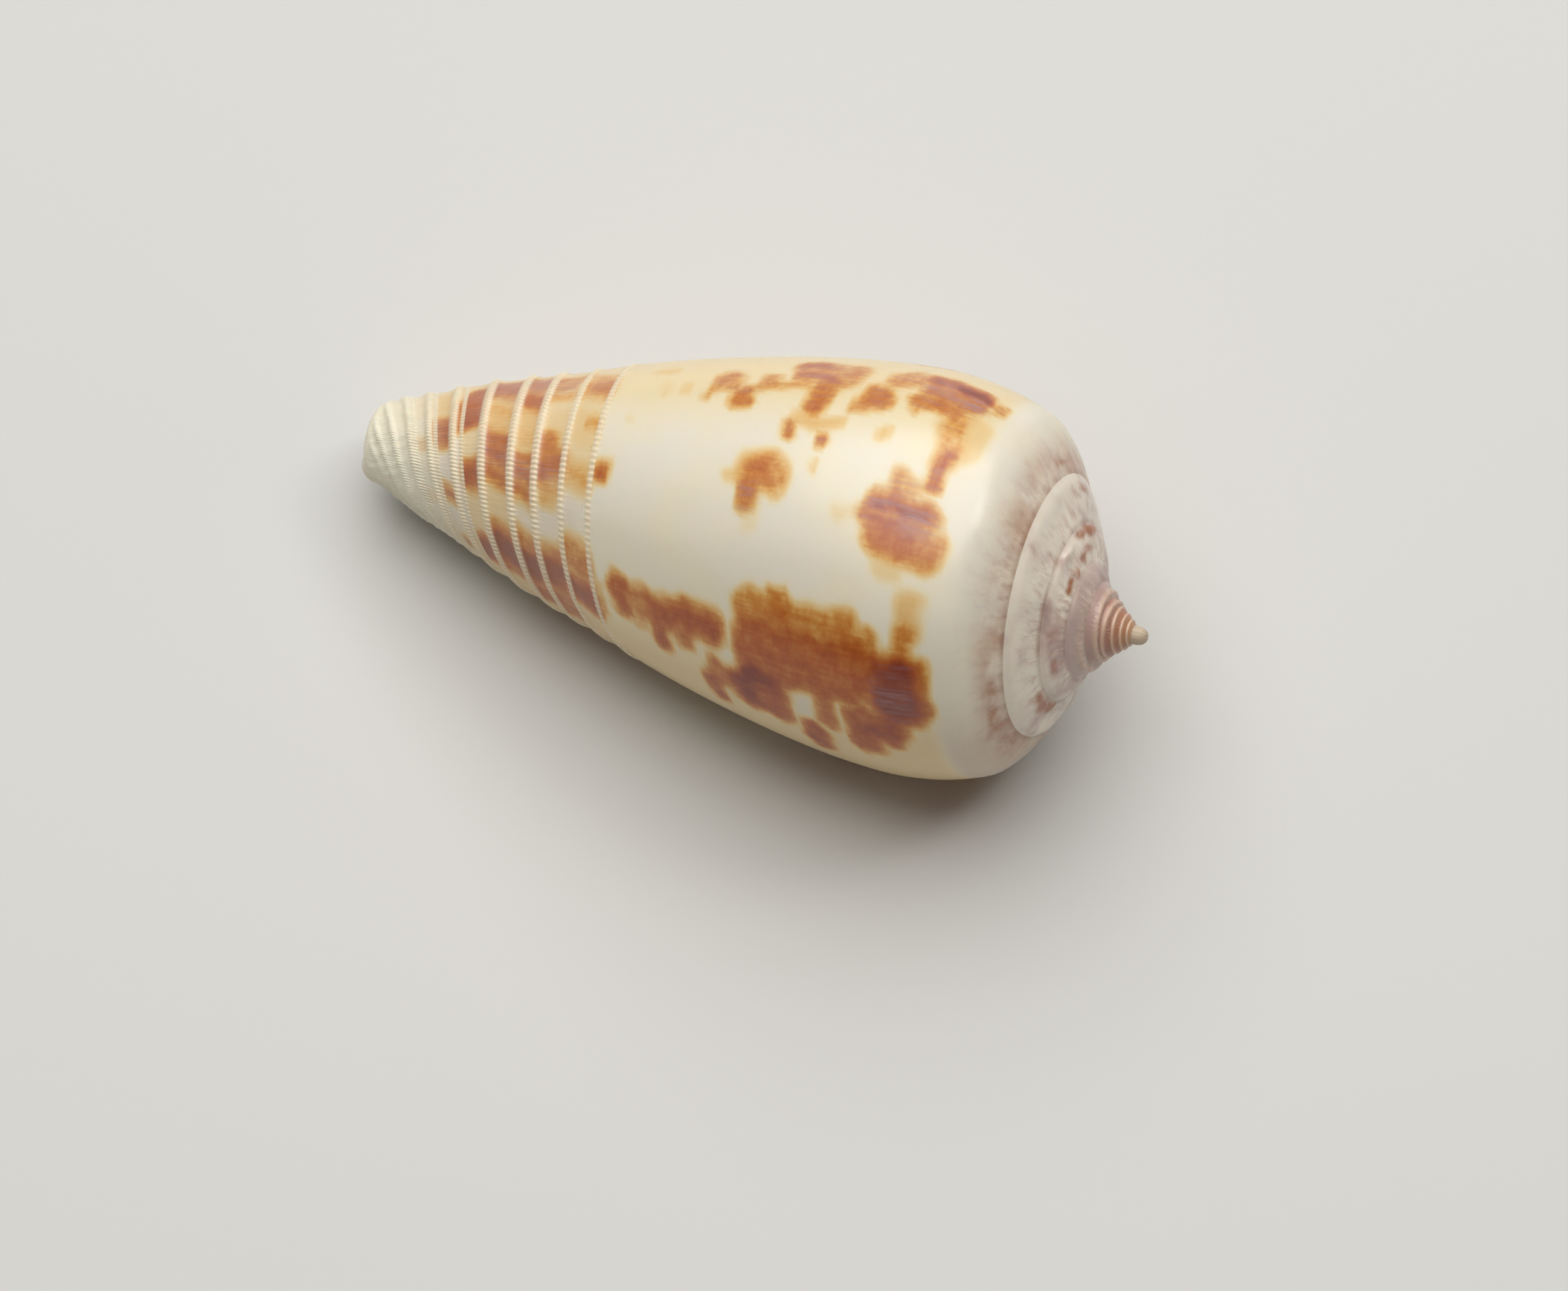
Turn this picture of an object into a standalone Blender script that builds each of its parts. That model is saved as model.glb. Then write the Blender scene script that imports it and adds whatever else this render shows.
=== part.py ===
"""A right-handed cone shell lying on its aperture, grown as one wall along a spiral.

A place on the shell is given by its turn, which is how far round the axis the wall had
grown there, and by its height, which is the distance from the apex down the axis. Turn 0
is the half plane that the outline is drawn in. All sizes are millimetres until the end.
"""

import math

import bmesh
import bpy
import numpy as np
from mathutils import Matrix, Vector

MM = 0.001

# Growth: the wall gets this much bigger, about the apex, with every turn
GROWTH = 1.344
LIP_TURN = 4 / 9

# Spire: radius and height of the suture, whorl by whorl, from the last one to the first
SUTURE = [
    (7.86, 6.08), (5.24, 4.80), (3.54, 3.86), (2.44, 3.08), (1.78, 2.42),
    (1.37, 1.88), (1.08, 1.45), (0.81, 1.12), (0.56, 0.85),
]
FIRST_TURN = 1 - len(SUTURE)
NUCLEUS_SQUARENESS = 2.6
RAMP_DISH = math.radians(6)
RAMP_CROWN = math.radians(14)

# Body whorl: radius and height of its outline at turn 0, below the shoulder
OUTLINE = [
    (11.22, 9.7), (11.62, 11.2), (11.92, 13.5), (11.82, 17.0), (11.32, 21.0), (10.33, 26.0),
    (9.04, 31.0), (7.41, 36.0), (5.82, 41.0), (4.25, 45.0), (3.08, 48.0), (2.25, 49.9),
    (1.10, 52.0), (0.10, 54.0), (0.05, 70.0),
]
OUTLINE_END = 50.1
END_SLANT = 2.0

# Columella: the pillar in the middle, which shows at the narrow end
PILLAR_RADIUS = 2.7
PILLAR_TIP_RADIUS = 1.2
PILLAR_TAPER = 0.37
PILLAR_END = 50.0
PILLAR_BLEND = 0.5
TIP_HEIGHT = 51.2

# Aperture: the slit under the outer lip
WALL = 0.95
SUTURE_NOTCH_TURN = 0.03
BASE_RETREAT_TURN = 0.05
BASE_RETREAT_FROM = 0.72
SHIFT_STRETCH = 0.33
END_THINNING = 0.4

# Resting: how far the apex end rises, the side of the shell that faces the floor, and how
# far the lip and the body are worn flat where they touch it
AXIS_RISE = math.radians(11.4)
DOWN_SIDE = math.radians(211.1)
WORN_DEPTH = 0.2

# Facets
STEPS_PER_TURN = 36
LIP_STEP = round(LIP_TURN * STEPS_PER_TURN)
RAMP_STEPS = 3
BODY_STEPS = 30
RIM_STEPS = 3
TIP_STEPS = 3
NUCLEUS_STEPS = 3
FREE_STEPS = 6
CORNER_STEP = 1
INNER_FROM = 2
WELD = 0.004


def blend_max(first, second, width):
    """The larger of two lengths, with the crease between them rounded over a width."""
    spare = max(width - abs(first - second), 0.0)
    return max(first, second) + spare * spare / (4 * width)


def hermite(start, end, start_slope, end_slope, at):
    """A point at 0 to 1 along a curve with a given slope at each end."""
    square, cube = at * at, at * at * at
    return ((2 * cube - 3 * square + 1) * start + (cube - 2 * square + at) * start_slope
            + (3 * square - 2 * cube) * end + (cube - square) * end_slope)


def turned(vector, angle):
    """A radius and height vector, turned in its half plane."""
    cosine, sine = math.cos(angle), math.sin(angle)
    return np.array([vector[0] * cosine - vector[1] * sine, vector[0] * sine + vector[1] * cosine])


def size_at(turn):
    """How big the wall is at a turn, against turn 0."""
    return GROWTH ** turn


def suture(turn):
    """Radius and height of the spiral line where each whorl starts on the last one."""
    if turn >= 0:
        return np.array(SUTURE[0]) * size_at(turn)
    if turn <= FIRST_TURN:
        return np.array(SUTURE[-1])
    whorl = int(-turn)
    rings = [np.log(suture_ring(whorl + step)) for step in (2, 1, 0, -1)]
    slopes = [(rings[2] - rings[0]) / 2, (rings[3] - rings[1]) / 2]
    return np.exp(hermite(rings[1], rings[2], *slopes, 1 + turn + whorl))


def suture_ring(whorl):
    """A suture ring by whorl, carried on past the two ends of the list."""
    if whorl < 0:
        return np.array(SUTURE[0]) * size_at(-whorl)
    return np.array(SUTURE[min(whorl, len(SUTURE) - 1)])


def ramp(turn, at):
    """A point on the flat top of a whorl, from its own suture to the next one."""
    inner, outer = suture(turn), suture(turn + 1)
    chord = outer - inner
    return hermite(inner, outer, turned(chord, -RAMP_DISH), turned(chord, RAMP_CROWN), at)


def outline_knots():
    """The outline's points from the shoulder down, and the length along it at each."""
    knots = np.array([suture(1)] + [np.array(point) for point in OUTLINE])
    steps = np.linalg.norm(np.diff(knots, axis=0), axis=1)
    return knots, np.concatenate([[0.0], np.cumsum(steps)])


KNOTS, LENGTHS = outline_knots()
KNOT_SLOPES = np.gradient(KNOTS, LENGTHS, axis=0)
SHOULDER_CHORD = suture(1) - suture(0)
KNOT_SLOPES[0] = turned(SHOULDER_CHORD / np.linalg.norm(SHOULDER_CHORD), RAMP_CROWN)
END_LENGTH = float(np.interp(OUTLINE_END, KNOTS[:, 1], LENGTHS))
BODY_LENGTHS = np.linspace(0, END_LENGTH, BODY_STEPS + 1)


def outline(length):
    """A point of the body's outline at turn 0, by its length along the outline."""
    part = min(int(np.searchsorted(LENGTHS, length, side="right")) - 1, len(LENGTHS) - 2)
    span = LENGTHS[part + 1] - LENGTHS[part]
    at = (length - LENGTHS[part]) / span
    return hermite(KNOTS[part], KNOTS[part + 1], KNOT_SLOPES[part] * span,
                   KNOT_SLOPES[part + 1] * span, at)


TABLE_LENGTHS = np.linspace(0, LENGTHS[-1], 1200)
TABLE = np.array([outline(length) for length in TABLE_LENGTHS])


def pillar(height):
    """Radius of the columella at a height."""
    taper = PILLAR_TIP_RADIUS + PILLAR_TAPER * (PILLAR_END - height)
    return min(PILLAR_RADIUS, taper)


def body(turn, step):
    """A point of the outer wall at a turn, from the shoulder (step 0) to the narrow end.

    The upper steps keep their place on the wall from turn to turn. The free steps share
    out what is left down to the end. Before turn 0 the wall runs on into the columella.
    """
    size = size_at(turn)
    fixed = BODY_STEPS - FREE_STEPS
    radius, height = size * outline(BODY_LENGTHS[min(step, fixed)])
    if step > fixed:
        height += (end_height(turn) - height) * (step - fixed) / FREE_STEPS
        radius = size * np.interp(height / size, TABLE[:, 1], TABLE[:, 0])
    if turn < 0:
        radius = blend_max(radius, pillar(height), PILLAR_BLEND)
    return radius, height


def end_height(turn):
    """Height of the narrow end: on the columella, then along the outer wall's slanted end."""
    if turn < 0:
        return PILLAR_END + (OUTLINE_END - PILLAR_END) * smooth(1 + turn / 0.2)
    return OUTLINE_END + END_SLANT * turn


def smooth(at):
    """An S curve from 0 to 1, flat outside them."""
    at = min(max(at, 0.0), 1.0)
    return at * at * (3 - 2 * at)


def drawn_back(turn, shift):
    """A turn moved back by the lip's own shift there, over the last stretch before the lip."""
    return turn - shift * smooth(1 - (LIP_TURN - turn) / SHIFT_STRETCH)


def outer_chain(turn):
    """Radius, height and turn down the outside: the ramp, then the body."""
    chain = []
    for step in range(RAMP_STEPS):
        at = step / RAMP_STEPS
        there = drawn_back(turn, SUTURE_NOTCH_TURN * math.sin(math.pi * at) ** 2)
        chain.append((*ramp(there, at), there))
    for step in range(BODY_STEPS + 1):
        bend = smooth((step / BODY_STEPS - BASE_RETREAT_FROM) / (1 - BASE_RETREAT_FROM))
        there = drawn_back(turn, BASE_RETREAT_TURN * bend)
        chain.append((*body(there, step), there))
    return np.array(chain)


def wall_thickness(turn, at):
    """Thickness of the outer wall, thinner towards the narrow end, at 0 to 1 down it."""
    return WALL * size_at(turn) * (1 - END_THINNING * smooth((at - 0.7) / 0.3))


def parietal_chain(turn):
    """The same down the last whorl's wall, behind the slit, from the slit's top corner."""
    return np.array([(*body(turn - 1, step), turn) for step in range(CORNER_STEP, BODY_STEPS + 1)])


def inner_chain(turn):
    """The same down the inside of the outer wall, from the slit's top corner."""
    outer = outer_chain(turn)
    along = np.gradient(outer[:, :2], axis=0)
    along /= np.linalg.norm(along, axis=1)[:, None]
    inside = outer.copy()
    last = len(outer) - 1
    for step, (radius_step, height_step) in enumerate(along):
        wall = wall_thickness(turn, step / last)
        inside[step, :2] += wall * np.array([-height_step, radius_step])
    inside[last, :2] = outer[last, 0] - wall_thickness(turn, 1), outer[last, 1]
    return np.concatenate([parietal_chain(turn)[:1], inside[INNER_FROM:]])


def tip_chain(start):
    """The same over the columella's rounded end, from a start point to the axis."""
    radius, height, turn = start
    angles = [math.pi / 2 * step / TIP_STEPS for step in range(TIP_STEPS + 1)]
    drop = TIP_HEIGHT - height
    return [(radius * math.cos(angle), height + drop * math.sin(angle), turn) for angle in angles]


def on_axis(place):
    """The point of space at a radius and height, at a turn round the axis."""
    radius, height, turn = place
    angle = 2 * math.pi * turn
    return Vector((radius * math.cos(angle), radius * math.sin(angle), height))


def rim(outer, inner, forward):
    """Points of a half round edge from the outer surface over to the inner one."""
    middle, arm = (outer + inner) / 2, (outer - inner) / 2
    points = []
    for step in range(RIM_STEPS + 1):
        angle = math.pi * step / RIM_STEPS
        points.append(middle + arm * math.cos(angle) + forward * arm.length * math.sin(angle))
    return points


def end_forward(chain):
    """The way the wall runs on past the end of a chain."""
    return (on_axis(chain[-1]) - on_axis(chain[-2])).normalized()


def lip_forward(place):
    """The way the wall would grow next at a place on the lip."""
    angle = 2 * math.pi * place[2]
    return Vector((-math.sin(angle), math.cos(angle), 0))


def add_sheet(bm, columns):
    """A sheet of faces through columns that all hold the same number of points."""
    rows = [[bm.verts.new(point) for point in column] for column in columns]
    for left, right in zip(rows, rows[1:]):
        for step in range(len(left) - 1):
            bm.faces.new((left[step], right[step], right[step + 1], left[step + 1]))


def add_spire(bm):
    """The ramps of all the whorls before the last, and the nucleus that closes the top."""
    columns = []
    for step in range((FIRST_TURN - 1) * STEPS_PER_TURN, LIP_STEP - STEPS_PER_TURN + 1):
        turn = step / STEPS_PER_TURN
        columns.append([on_axis((*ramp(turn, part / RAMP_STEPS), turn))
                        for part in range(RAMP_STEPS + 1)])
    add_sheet(bm, columns)
    radius, height = SUTURE[-1]
    power = NUCLEUS_SQUARENESS
    caps = []
    for step in range(STEPS_PER_TURN + 1):
        cap = []
        for part in range(NUCLEUS_STEPS + 1):
            angle = math.pi / 2 * part / NUCLEUS_STEPS
            across, up = math.cos(angle) ** (2 / power), math.sin(angle) ** (2 / power)
            cap.append(on_axis((radius * across, height * (1 - up), step / STEPS_PER_TURN)))
        caps.append(cap)
    add_sheet(bm, caps)


def add_last_whorl(bm):
    """The outside of the last whorl, the slit behind its lip, and the lip's round edge."""
    steps = range(LIP_STEP - STEPS_PER_TURN, LIP_STEP + 1)
    add_sheet(bm, [[on_axis(place) for place in outer_chain(step / STEPS_PER_TURN)]
                   for step in steps])
    slit = [step / STEPS_PER_TURN for step in range(LIP_STEP + 1)]
    outer = [outer_chain(turn) for turn in slit]
    inner = [inner_chain(turn) for turn in slit]
    parietal = [parietal_chain(turn) for turn in slit]
    add_sheet(bm, [[on_axis(place) for place in chain] for chain in inner])
    add_sheet(bm, [[on_axis(place) for place in chain] for chain in parietal])
    deep_end = [on_axis(place) for place in inner[0]]
    deep_end += [on_axis(place) for place in parietal[0][:0:-1]]
    bm.faces.new([bm.verts.new(point) for point in deep_end])

    lip_places = list(zip(outer[-1][INNER_FROM:-1], inner[-1][1:-1]))
    edge = [rim(on_axis(out), on_axis(back), lip_forward(out)) for out, back in lip_places]
    corner = (lip_forward(outer[-1][-1]) + end_forward(outer[-1])).normalized()
    forwards = [corner] + [end_forward(chain) for chain in outer[-2::-1]]
    for out, back, forward in zip(outer[::-1], inner[::-1], forwards):
        edge.append(rim(on_axis(out[-1]), on_axis(back[-1]), forward))
    add_sheet(bm, edge)
    top = [on_axis(place) for place in outer[-1][:INNER_FROM]] + edge[0]
    top += [on_axis((*body(LIP_TURN - 1, step), LIP_TURN)) for step in range(CORNER_STEP, 0, -1)]
    bm.faces.new([bm.verts.new(point) for point in top])


def add_narrow_end(bm):
    """The columella's end, and the face between it and the wall that wraps round it."""
    inside = [parietal_chain(step / STEPS_PER_TURN)[-1] for step in range(LIP_STEP + 1)]
    add_sheet(bm, [[on_axis(place) for place in tip_chain(start)] for start in inside])
    columns = []
    for step in range(LIP_STEP - STEPS_PER_TURN, 1):
        turn = step / STEPS_PER_TURN
        chain = outer_chain(turn)
        end = chain[-1]
        pillar_end = np.array([pillar(PILLAR_END), PILLAR_END, turn])
        wall = min(wall_thickness(turn, 1), end[0] - pillar_end[0])
        back = np.array([end[0] - wall, end[1], turn])
        column = rim(on_axis(end), on_axis(back), end_forward(chain))
        columns.append(column + [on_axis(place) for place in tip_chain(pillar_end)])
    add_sheet(bm, columns)


def resting(points):
    """The same points in metres, with the shell lying on its aperture on the ground."""
    up_axis = Vector((math.cos(AXIS_RISE), 0, math.sin(AXIS_RISE)))
    down = Vector((math.sin(AXIS_RISE), 0, -math.cos(AXIS_RISE)))
    side = (-up_axis).cross(down)
    roll = Matrix.Rotation(-DOWN_SIDE, 3, "Z")
    frame = Matrix((down, side, -up_axis)).transposed()
    laid = [frame @ roll @ point * MM for point in points]
    ground = min(point.z for point in laid) + WORN_DEPTH * MM
    for point in laid:
        point.z = max(point.z, ground)
    low = [min(point[axis] for point in laid) for axis in range(3)]
    high = [max(point[axis] for point in laid) for axis in range(3)]
    base = Vector(((low[0] + high[0]) / 2, (low[1] + high[1]) / 2, low[2]))
    return [point - base for point in laid]


def shell_material():
    """The polished shell's cream ground colour."""
    material = bpy.data.materials.new("glossy_shell")
    material.use_nodes = True
    surface = material.node_tree.nodes["Principled BSDF"]
    surface.inputs["Base Color"].default_value = (0.80, 0.68, 0.48, 1)
    surface.inputs["Roughness"].default_value = 0.25
    surface.inputs["Metallic"].default_value = 0
    return material


def make_shell():
    """The whole shell, as one closed mesh."""
    bm = bmesh.new()
    add_spire(bm)
    add_last_whorl(bm)
    add_narrow_end(bm)
    bmesh.ops.remove_doubles(bm, verts=bm.verts, dist=WELD)
    bmesh.ops.dissolve_degenerate(bm, edges=bm.edges, dist=WELD)
    for vert, point in zip(bm.verts, resting([vert.co for vert in bm.verts])):
        vert.co = point
    bmesh.ops.triangulate(bm, faces=bm.faces)
    bmesh.ops.recalc_face_normals(bm, faces=bm.faces)
    mesh = bpy.data.meshes.new("shell")
    bm.to_mesh(mesh)
    bm.free()
    mesh.materials.append(shell_material())
    mesh.shade_smooth()
    shell = bpy.data.objects.new("shell", mesh)
    bpy.context.scene.collection.objects.link(shell)
    return shell


for old in list(bpy.data.objects):
    bpy.data.objects.remove(old, do_unlink=True)
make_shell()
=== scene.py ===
# %% [markdown]
# This lesson builds the outer look of a cone shell that lies on its aperture. The real
# shell is one wall of aragonite, laid down along a spiral by the animal's mantle. It could
# be sculpted by hand, but a rule is truer to it: each part of the wall has the same shape
# as the part before, a little bigger. So the lesson writes the growth rule once, rolls flat
# sheets up by it, and welds them into one closed skin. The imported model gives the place.

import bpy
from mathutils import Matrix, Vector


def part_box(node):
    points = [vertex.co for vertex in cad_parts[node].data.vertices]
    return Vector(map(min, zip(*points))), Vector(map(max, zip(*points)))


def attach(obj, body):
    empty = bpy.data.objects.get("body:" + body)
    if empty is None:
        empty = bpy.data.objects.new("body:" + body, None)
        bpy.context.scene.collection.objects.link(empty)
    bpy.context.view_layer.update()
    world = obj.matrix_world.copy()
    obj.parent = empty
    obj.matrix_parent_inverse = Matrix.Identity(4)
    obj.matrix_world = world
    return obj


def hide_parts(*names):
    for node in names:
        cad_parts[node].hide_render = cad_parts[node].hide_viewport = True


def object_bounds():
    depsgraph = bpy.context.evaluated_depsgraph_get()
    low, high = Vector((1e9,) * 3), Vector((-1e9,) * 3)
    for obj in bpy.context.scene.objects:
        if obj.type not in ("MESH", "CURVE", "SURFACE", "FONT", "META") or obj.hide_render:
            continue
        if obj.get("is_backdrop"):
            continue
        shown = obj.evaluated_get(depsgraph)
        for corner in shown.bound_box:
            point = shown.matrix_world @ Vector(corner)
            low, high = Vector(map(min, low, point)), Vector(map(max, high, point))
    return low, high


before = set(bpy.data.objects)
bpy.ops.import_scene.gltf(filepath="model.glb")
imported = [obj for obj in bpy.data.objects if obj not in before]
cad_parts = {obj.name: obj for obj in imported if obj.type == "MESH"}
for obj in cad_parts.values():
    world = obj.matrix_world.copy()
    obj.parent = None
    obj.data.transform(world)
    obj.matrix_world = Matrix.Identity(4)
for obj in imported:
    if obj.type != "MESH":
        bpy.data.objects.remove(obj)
cad_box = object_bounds()
print("CAD box in mm:", [[round(value * 1000, 2) for value in corner] for corner in cad_box])

# %% Modules
import math

import bmesh
import bpy
import numpy as np
from mathutils import Matrix, Vector

MM = 0.001

# %% [markdown]
# A place on the wall has a turn, which is how far round the axis the wall had grown there,
# and a distance down the wall. Turn 0 is the side that the camera sees. Every turn makes
# the wall 1.344 times bigger about the apex. The suture is the line where a whorl starts
# on the last one. On this shell the young whorls are steeper than the rule says, so the
# suture is a short list of radii and heights, one a whorl, joined by smooth curves.

# %% Growth and the suture
GROWTH = 1.344
LIP_TURN = 4 / 9
SUTURE = [
    (7.86, 6.08), (5.24, 4.80), (3.54, 3.86), (2.44, 3.08), (1.78, 2.42),
    (1.37, 1.88), (1.08, 1.45), (0.81, 1.12), (0.56, 0.85),
]
FIRST_TURN = 1 - len(SUTURE)
RINGS = np.log([np.multiply(SUTURE[0], GROWTH)] + SUTURE + [SUTURE[-1]] * 3)


def hermite(start, end, start_slope, end_slope, at):
    """Points at 0 to 1 along curves with a given slope at each end."""
    square, cube = at * at, at * at * at
    return ((2 * cube - 3 * square + 1) * start + (cube - 2 * square + at) * start_slope
            + (3 * square - 2 * cube) * end + (cube - square) * end_slope)


def suture(turn):
    """Radius and height of the suture at each turn."""
    turn = np.asarray(turn, float)
    whorl = np.clip(np.floor(-turn), 0, len(SUTURE) - 1).astype(int)
    before, start, end, after = (RINGS[whorl + step] for step in (3, 2, 1, 0))
    at = np.clip(1 + turn + whorl, 0, 1)[..., None]
    young = np.exp(hermite(start, end, (end - before) / 2, (after - start) / 2, at))
    grown = np.array(SUTURE[0]) * GROWTH ** turn[..., None]
    place = np.where(turn[..., None] >= 0, grown, young)
    return np.where(turn[..., None] <= FIRST_TURN, np.array(SUTURE[-1]), place)


print("suture radius at turns -8, -4, 0:", suture([-8, -4, 0])[:, 0].round(2))

# %% [markdown]
# Each whorl has a flat top, the ramp, from its own suture out to the shoulder. It dishes a
# little and then rolls over. One curve between the two sutures makes it, with its slope
# turned by a few degrees at each end.

# %% The ramp
RAMP_DISH = math.radians(6)
RAMP_CROWN = math.radians(14)


def turned(vector, angle):
    """Radius and height vectors, turned in their half plane."""
    cosine, sine = math.cos(angle), math.sin(angle)
    radius, height = vector[..., 0], vector[..., 1]
    return np.stack([radius * cosine - height * sine, radius * sine + height * cosine], -1)


def ramp(turn, at):
    """Radius and height on the ramp, from its own suture (0) to the next one (1)."""
    inner, outer = suture(turn), suture(turn + 1)
    chord = outer - inner
    return hermite(inner, outer, turned(chord, -RAMP_DISH), turned(chord, RAMP_CROWN), at[..., None])


print("ramp width at turn 0:", round(float(np.ptp(ramp(np.zeros(2), np.array([0.0, 1.0]))[:, 0])), 2))

# %% [markdown]
# Below the shoulder the wall follows one outline, which is drawn at turn 0 and scaled by
# the rule everywhere else. Its points are the radii of the real shell at a few heights. A
# length along it names a place on the wall, and keeps its name as the wall grows. Spiral
# ribs and rows of marks stay at one length, which is why this name is the useful one.

# %% The outline of the body
OUTLINE = [
    (11.22, 9.7), (11.62, 11.2), (11.92, 13.5), (11.82, 17.0), (11.32, 21.0), (10.33, 26.0),
    (9.04, 31.0), (7.41, 36.0), (5.82, 41.0), (4.25, 45.0), (3.08, 48.0), (2.25, 49.9),
    (1.10, 52.0), (0.10, 54.0), (0.05, 70.0),
]
KNOTS = np.array([suture(1)] + [np.array(point) for point in OUTLINE])
LENGTHS = np.concatenate([[0.0], np.cumsum(np.linalg.norm(np.diff(KNOTS, axis=0), axis=1))])
SLOPES = np.gradient(KNOTS, LENGTHS, axis=0)
SHOULDER_CHORD = suture(1) - suture(0)
SLOPES[0] = turned(SHOULDER_CHORD / np.linalg.norm(SHOULDER_CHORD), RAMP_CROWN)


def outline(length):
    """Radius and height at turn 0, by the length along the outline from the shoulder."""
    part = np.clip(np.searchsorted(LENGTHS, length, side="right") - 1, 0, len(LENGTHS) - 2)
    span = LENGTHS[part + 1] - LENGTHS[part]
    at = ((length - LENGTHS[part]) / span)[..., None]
    span = span[..., None]
    return hermite(KNOTS[part], KNOTS[part + 1], SLOPES[part] * span, SLOPES[part + 1] * span, at)


TABLE_LENGTHS = np.linspace(0, LENGTHS[-1], 4000)
TABLE = outline(TABLE_LENGTHS)
print("widest radius:", round(float(TABLE[:, 0].max()), 2), "mm")

# %% [markdown]
# At the narrow end the wall runs on into the columella, the pillar in the middle of the
# shell, and stops on a slant. The pillar's radius takes over from the outline's with its
# crease rounded off.

# %% The columella and the narrow end
PILLAR_RADIUS = 2.7
PILLAR_TIP_RADIUS = 1.2
PILLAR_TAPER = 0.37
PILLAR_END = 50.0
PILLAR_BLEND = 0.5
OUTLINE_END = 50.1
END_SLANT = 2.0
END_BLEND_TURN = 0.2
TIP_HEIGHT = 51.2


def smooth(at):
    """An S curve from 0 to 1, flat outside them."""
    at = np.clip(at, 0, 1)
    return at * at * (3 - 2 * at)


def pillar(height):
    """Radius of the columella at a height."""
    return np.minimum(PILLAR_RADIUS, PILLAR_TIP_RADIUS + PILLAR_TAPER * (PILLAR_END - height))


def body(turn, length):
    """Radius and height of the outer wall at a turn and an outline length."""
    place = GROWTH ** turn[..., None] * outline(length)
    radius, height = place[..., 0], place[..., 1]
    stem = pillar(height)
    spare = np.maximum(PILLAR_BLEND - np.abs(radius - stem), 0)
    blended = np.maximum(radius, stem) + spare * spare / (4 * PILLAR_BLEND)
    return np.stack([np.where(turn < 0, blended, radius), height], -1)


def end_length(turn):
    """The outline length where the narrow end cuts the wall off."""
    before = PILLAR_END + (OUTLINE_END - PILLAR_END) * smooth(1 + turn / END_BLEND_TURN)
    height = np.where(turn < 0, before, OUTLINE_END + END_SLANT * turn)
    return np.interp(height / GROWTH ** turn, TABLE[:, 1], TABLE_LENGTHS)


print("outline length at the end, turn 0:", round(float(end_length(np.array(0.0))), 2), "mm")

# %% [markdown]
# The narrow half carries raised spiral ribs. Each is a row of fine beads, where growth
# lines cross it. A rib is a centre, a width and a height in mm. The first ones are low and
# thin, the next ones stand up, and small threads run between the last ones.

# %% Ribs
RIBS = [
    (25.05, 0.38, 0.08), (27.25, 0.44, 0.13), (29.40, 0.56, 0.19), (31.25, 0.60, 0.22),
    (33.50, 0.64, 0.23), (35.10, 0.24, 0.08), (35.78, 0.60, 0.22), (37.15, 0.24, 0.08),
    (37.65, 0.54, 0.20), (38.75, 0.24, 0.08), (39.15, 0.52, 0.19), (40.45, 0.48, 0.18),
    (41.60, 0.42, 0.16), (42.50, 0.42, 0.14), (43.60, 0.42, 0.13), (44.90, 0.42, 0.11),
]
RIB_ZONE = 24.4
CHANNEL_DEPTH = 0.06


def rib_shape(length):
    """0 between ribs and 1 on a crest, and the height of the ribs in mm."""
    crest, rise = np.zeros(length.shape), np.zeros(length.shape)
    for centre, width, height in RIBS:
        shape = np.exp(-np.abs(2 * (length - centre) / width) ** 2.4)
        crest = np.maximum(crest, shape)
        rise = rise + height * shape
    return crest, rise


print(len(RIBS), "ribs and threads")

# %% [markdown]
# Nothing that grows is even. Two small functions give smooth random values, from tables
# that a seed fixes, so every run makes the same shell.

# %% Unevenness
def wander(along, seed):
    """Smooth random values from -1 to 1 along a line, one knot a unit."""
    table = np.random.default_rng(seed).uniform(-1, 1, 4096)
    cell = np.floor(along).astype(int)
    at = smooth(along - cell)
    return table[cell % 4096] * (1 - at) + table[(cell + 1) % 4096] * at


def wander_over(along, across, seed):
    """The same over a plane."""
    low = np.floor(across)
    at = smooth(across - low)
    rows = [wander(along + 37.7 * row, seed) for row in (low, low + 1)]
    return rows[0] * (1 - at) + rows[1] * at


print("unevenness sample:", wander(np.arange(3) + 0.5, 1).round(2))

# %% [markdown]
# The relief is how far the real surface stands proud of the smooth rule. On the body it is
# the ribs, the channels between them and faint growth waves. On the spire the young whorls
# carry a sharp keel just inside their outer suture, and the older ones are puckered and
# lumpy where the lip once met the suture, with a low brow near their shoulder and a few
# knobs. It fades to nothing at the sutures and at the narrow end.

# %% Relief
KEEL_AT = (0.82, 0.26)
KEEL_MOVES_TURN = -5.2
KEEL_WIDTH = 0.20
KEEL_RISE = 0.20
WAVES_PER_TURN = 40
WAVE_RISE = 0.02
WRINKLES_PER_TURN = 80
WRINKLE_RISE = 0.055
WRINKLES_FROM = 35.5
PUCKERS_PER_TURN = 74
PUCKER_RISE = 0.17
LAST_PUCKER_RISE = 0.11
LUMPS_PER_TURN = 19
LUMP_SHARE = 0.7
BROW_AT, BROW_WIDTH, BROW_RISE = 0.86, 0.14, 0.09
KNOBS = [
    (-1.876, 0.85, 0.28), (-0.941, 0.11, 0.16), (-1.70, 0.55, 0.10), (-1.48, 0.80, 0.14),
    (-1.30, 0.50, 0.10),
]
KNOB_RADIUS = 0.35
FADE = 0.5


def youth_of(turn):
    """0 on the older whorls and 1 on the young ones."""
    return smooth((-2.6 - turn) / 0.8)


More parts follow.
